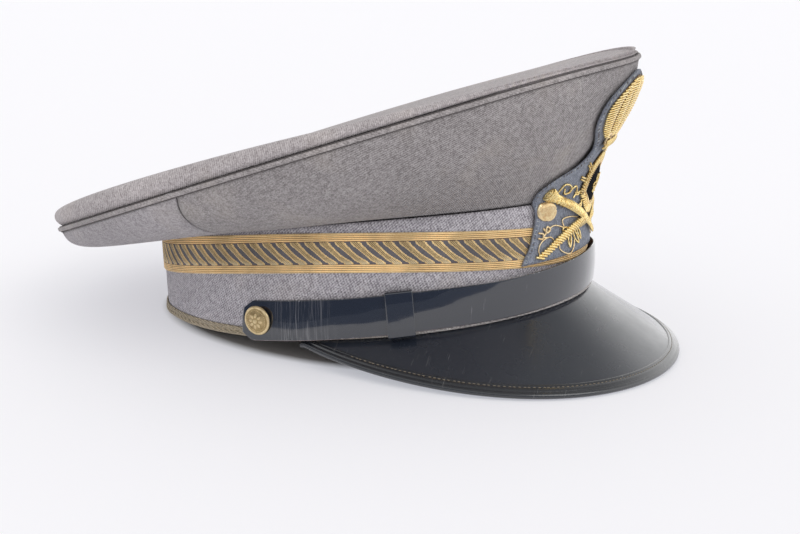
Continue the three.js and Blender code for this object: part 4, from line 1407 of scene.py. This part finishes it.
over_ring = over(RING_RADIUS, PADDING_SHARES["ring"])
ring_wires = satin(oval(OVAL_TALL, OVAL_WIDE), 2.35, 1.0, over_ring, 0.55, ring=True)
wires("badge_ring_wires", ring_wires, 0.44)
ladder = satin(oval(9.6, 8.4), 0.5, 0.85, lambda share, side: 1.5, ring=True, points=3)
wires("badge_ring_ladder", ladder, 0.26, wire_fine)
ROSETTE_PETALS = 6
PETAL_STEPS = 8
rosette = []
for petal in range(ROSETTE_PETALS):
    angle = TAU * petal / ROSETTE_PETALS
    spots = []
    for k in range(PETAL_STEPS + 1):
        inner = TAU * k / PETAL_STEPS
        reach = 2.3 + 1.8 * math.cos(inner)
        swing = math.sin(inner)
        across = reach * math.cos(angle) - swing * math.sin(angle)
        rise = 1.3 * (reach * math.sin(angle) + swing * math.cos(angle))
        inside = max(0.0, 1.0 - (across / DISC_WIDE) ** 2 - (rise / DISC_TALL) ** 2)
        spots.append(on_badge(across, OVAL_RISE + rise, 0.4 + DISC_OUT * math.sqrt(inside)))
    rosette.append(spots)
wires("badge_rosette_wires", rosette, 0.34)
PRONGS = [((11.6, 57.5), (14.4, 60.2)), ((13.0, 53.0), (16.0, 54.2)), ((13.1, 47.5), (16.1, 47.2)),
          ((11.6, 43.0), (14.4, 40.8))]
prongs = []
for side in SIDES.values():
    for start, end in PRONGS:
        middle = ((start[0] + end[0]) / 2, (start[1] + end[1]) / 2)
        for shift in (-0.55, 0.55):
            prongs.append([on_badge(side * across, rise + shift, 0.3 + lift) for (across, rise), lift in
                           ((start, 0.4), (middle, 0.9), (end, 0.1))])
wires("badge_ring_prongs", prongs, 0.42)
print("ring wires", len(ring_wires))

# %% [markdown]
# ## Barrels, pads and branches
# Two crossed barrels are wrapped in fine wire, with coils at their thick ends. A satin pad lies beside
# each, and below them a rope of fat slanting wire makes a branch with leaves and loops. Both sides are the
# same, but one barrel stops where it meets the other.

# %% Work the barrels, pads and branches
CROSSING = 31.0
BARREL_RISE = 0.58
BARREL_OUTER = 34.0
BARREL_INNER = 8.5
BARREL_THICK = 2.5
BARREL_THIN = 1.6
BARREL_FLAT = 0.6
BARREL_SHARE = 0.62
BRANCH_RADIUS = 1.3
ROPE_SHARE = 0.55
BRANCH = [(7.6, 34.2), (15.7, 33.3), (22.1, 31.4), (27.5, 29.4), (31.9, 27.3), (36.1, 25.1), (40.3, 22.9)]
PAD_ACROSS = 32.5
PAD_RISE = 42.5
PAD_RADIUS = 4.2
PAD_THICK = 1.15
PAD_LENGTHS = 19
PAD_STEPS = 8
COIL_STEPS = 12
COILS = ((-0.022, 0.8), (-0.018, 1.5), (0.0, 2.25), (0.035, 2.35), (0.075, 2.3), (0.17, 2.1), (0.205, 2.15),
         (0.24, 2.1))
BARREL_LEAN = math.hypot(1.0, BARREL_RISE)


def barrel_radius(share):
    return mix(BARREL_THICK, BARREL_THIN, share)


def branch_radius(share):
    return BRANCH_RADIUS * (1.0 - 0.4 * share * share)


def barrel_wrap(share):
    return barrel_radius(share) * 0.84


def rope_spread(share):
    return branch_radius(share) * 1.5


barrels, coils, branch, pads = [], [], [], []
for side in SIDES.values():
    reach = [mix(BARREL_OUTER, -BARREL_INNER if side > 0 else 1.5, n / 10) for n in range(11)]
    path = [(side * across, CROSSING + BARREL_RISE * across) for across in reach]
    over_barrel = over(barrel_radius, BARREL_SHARE, BARREL_FLAT)
    barrels += satin(path, barrel_wrap, 0.70, over_barrel, 0.06, points=9)
    for share, size in COILS:
        across = mix(BARREL_OUTER, -BARREL_INNER, share)
        spots = []
        for k in range(COIL_STEPS + 1):
            angle = TAU * k / COIL_STEPS
            beside = size * math.cos(angle)
            out = max(0.1, 1.15 + size * 0.55 * math.sin(angle))
            rise = CROSSING + BARREL_RISE * across + beside / BARREL_LEAN
            spots.append(on_badge(side * (across - beside * BARREL_RISE / BARREL_LEAN), rise, out))
        coils.append(spots)
    places = [(side * across, rise) for across, rise in through(BRANCH, 3)]
    over_rope = over(branch_radius, ROPE_SHARE)
    branch += satin(places, rope_spread, 1.5, over_rope, -0.95 * side)
    for n in range(PAD_LENGTHS):
        shift = mix(-0.95, 0.95, n / (PAD_LENGTHS - 1))
        span = math.sqrt(1.0 - shift * shift)
        line = []
        for k in range(PAD_STEPS + 1):
            part = mix(-1.0, 1.0, k / PAD_STEPS)
            lift = math.sqrt(max(0.0, 1.0 - shift * shift - (part * span) ** 2 * 0.96))
            vein = 0.35 * math.exp(-(part * 5.0) ** 2)
            across = side * (PAD_ACROSS + PAD_RADIUS * shift)
            line.append(on_badge(across, PAD_RISE + PAD_RADIUS * part * span, 0.35 + PAD_THICK * lift - vein))
        pads.append(line)
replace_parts(wires("badge_barrel_wires", barrels, 0.38), "badge_barrels")
wires("badge_barrel_coils", coils, 0.40)
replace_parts(wires("badge_branch_wires", branch, 0.60), "badge_branch_right", "badge_branch_left")
wires("badge_pad_wires", pads, 0.27, wire_fine)

LOOPS = [[(30.5, 26.2), (31.5, 29.6), (33.6, 31.2), (36.6, 30.6), (38.8, 28.6), (39.5, 26.0), (38.4, 23.8),
          (36.6, 23.2)],
         [(28.0, 27.6), (28.6, 25.0), (26.0, 22.6), (22.5, 21.4), (19.5, 22.6), (17.6, 25.6), (16.8, 28.6)],
         [(34.4, 33.2), (32.4, 35.2), (29.6, 35.6), (26.0, 34.2), (24.6, 33.6), (25.2, 37.2), (20.0, 37.6),
          (13.6, 36.2)]]
KNOTS = [[(36.0, 35.6), (34.8, 33.4), (33.2, 34.6), (34.6, 36.0), (35.6, 33.2), (36.8, 32.0), (35.0, 31.2)],
         [(38.6, 34.0), (36.8, 33.2), (37.4, 31.2), (39.0, 31.8)]]
LEAVES = [[(21.5, 30.0), (22.6, 27.2), (22.0, 24.2), (20.6, 26.2), (19.8, 29.4)],
          [(17.5, 31.2), (15.2, 28.4), (14.6, 24.6), (17.0, 26.8), (17.8, 29.8)],
          [(24.0, 30.6), (25.6, 33.2), (23.0, 33.4), (21.6, 31.4)],
          [(14.0, 32.0), (12.0, 29.0), (12.2, 26.0), (14.2, 28.6), (14.6, 31.0)],
          [(27.7, 50.2), (26.4, 53.2), (22.0, 52.0), (20.6, 49.2), (23.4, 48.6), (24.6, 51.2)],
          [(20.6, 49.2), (18.0, 51.2), (15.6, 47.6), (17.2, 45.4)]]


def free_wires(lists, out, arch):
    """Lines through lists of places on both sides, that leave the felt in an arch."""
    made = []
    for side in SIDES.values():
        for spots in lists:
            fine = through(spots)
            last = len(fine) - 1
            made.append([on_badge(side * across, rise, out + arch * math.sin(math.pi * n / last))
                         for n, (across, rise) in enumerate(fine)])
    return made


wires("badge_loops", free_wires(LOOPS, 0.25, 0.4), 0.3, wire_fine)
wires("badge_knots", free_wires(KNOTS, 0.4, 0.6), 0.42, wire_fine)
wires("badge_leaves", free_wires(LEAVES, 0.3, 0.5), 0.42)
print("branch wires", len(branch))

# %% Oversew the felt's edge
thread_pale = plain("thread_pale", (0.50, 0.53, 0.50), 0.7)
EDGE_PITCH = 1.7
EDGE_LEAST = 0.12
EDGE_REACH = 1.1
LOOK_AHEAD = 0.4
PALE_SHARE = 0.42
FELT_LOW = 22.0
FELT_HIGH = 98.0


def felt_edge(rise):
    return Vector((half_width(BACKING_TREE, rise), rise))


pale, dark = [], []
for side in SIDES.values():
    rise = FELT_LOW
    while rise < FELT_HIGH:
        spot = felt_edge(rise)
        along = (felt_edge(rise + LOOK_AHEAD) - spot).normalized()
        inward = Vector((-along.y, along.x))
        inner = spot + (inward if inward.x < 0 else -inward) * EDGE_REACH
        start = on_badge(side * (spot.x - 0.25), spot.y, -0.1)
        end = on_badge(side * inner.x, inner.y, 0.22)
        jitter = chance.uniform(0.7, 1.2)
        target = pale if chance.random() < PALE_SHARE else dark
        target.append(((start + end) / 2, (end - start).normalized(), felt_way(side * spot.x * 0.97, rise)))
        rise += max(EDGE_LEAST, EDGE_PITCH * jitter * abs(along.y))
stitches("badge_edge_stitches", pale, 0.65, 0.15, thread_pale, "badge_cloth")
stitches("badge_edge_dark", dark, 0.75, 0.24, dark_thread_and_groove_shade, "badge_cloth")
print("felt stitches", len(pale) + len(dark))
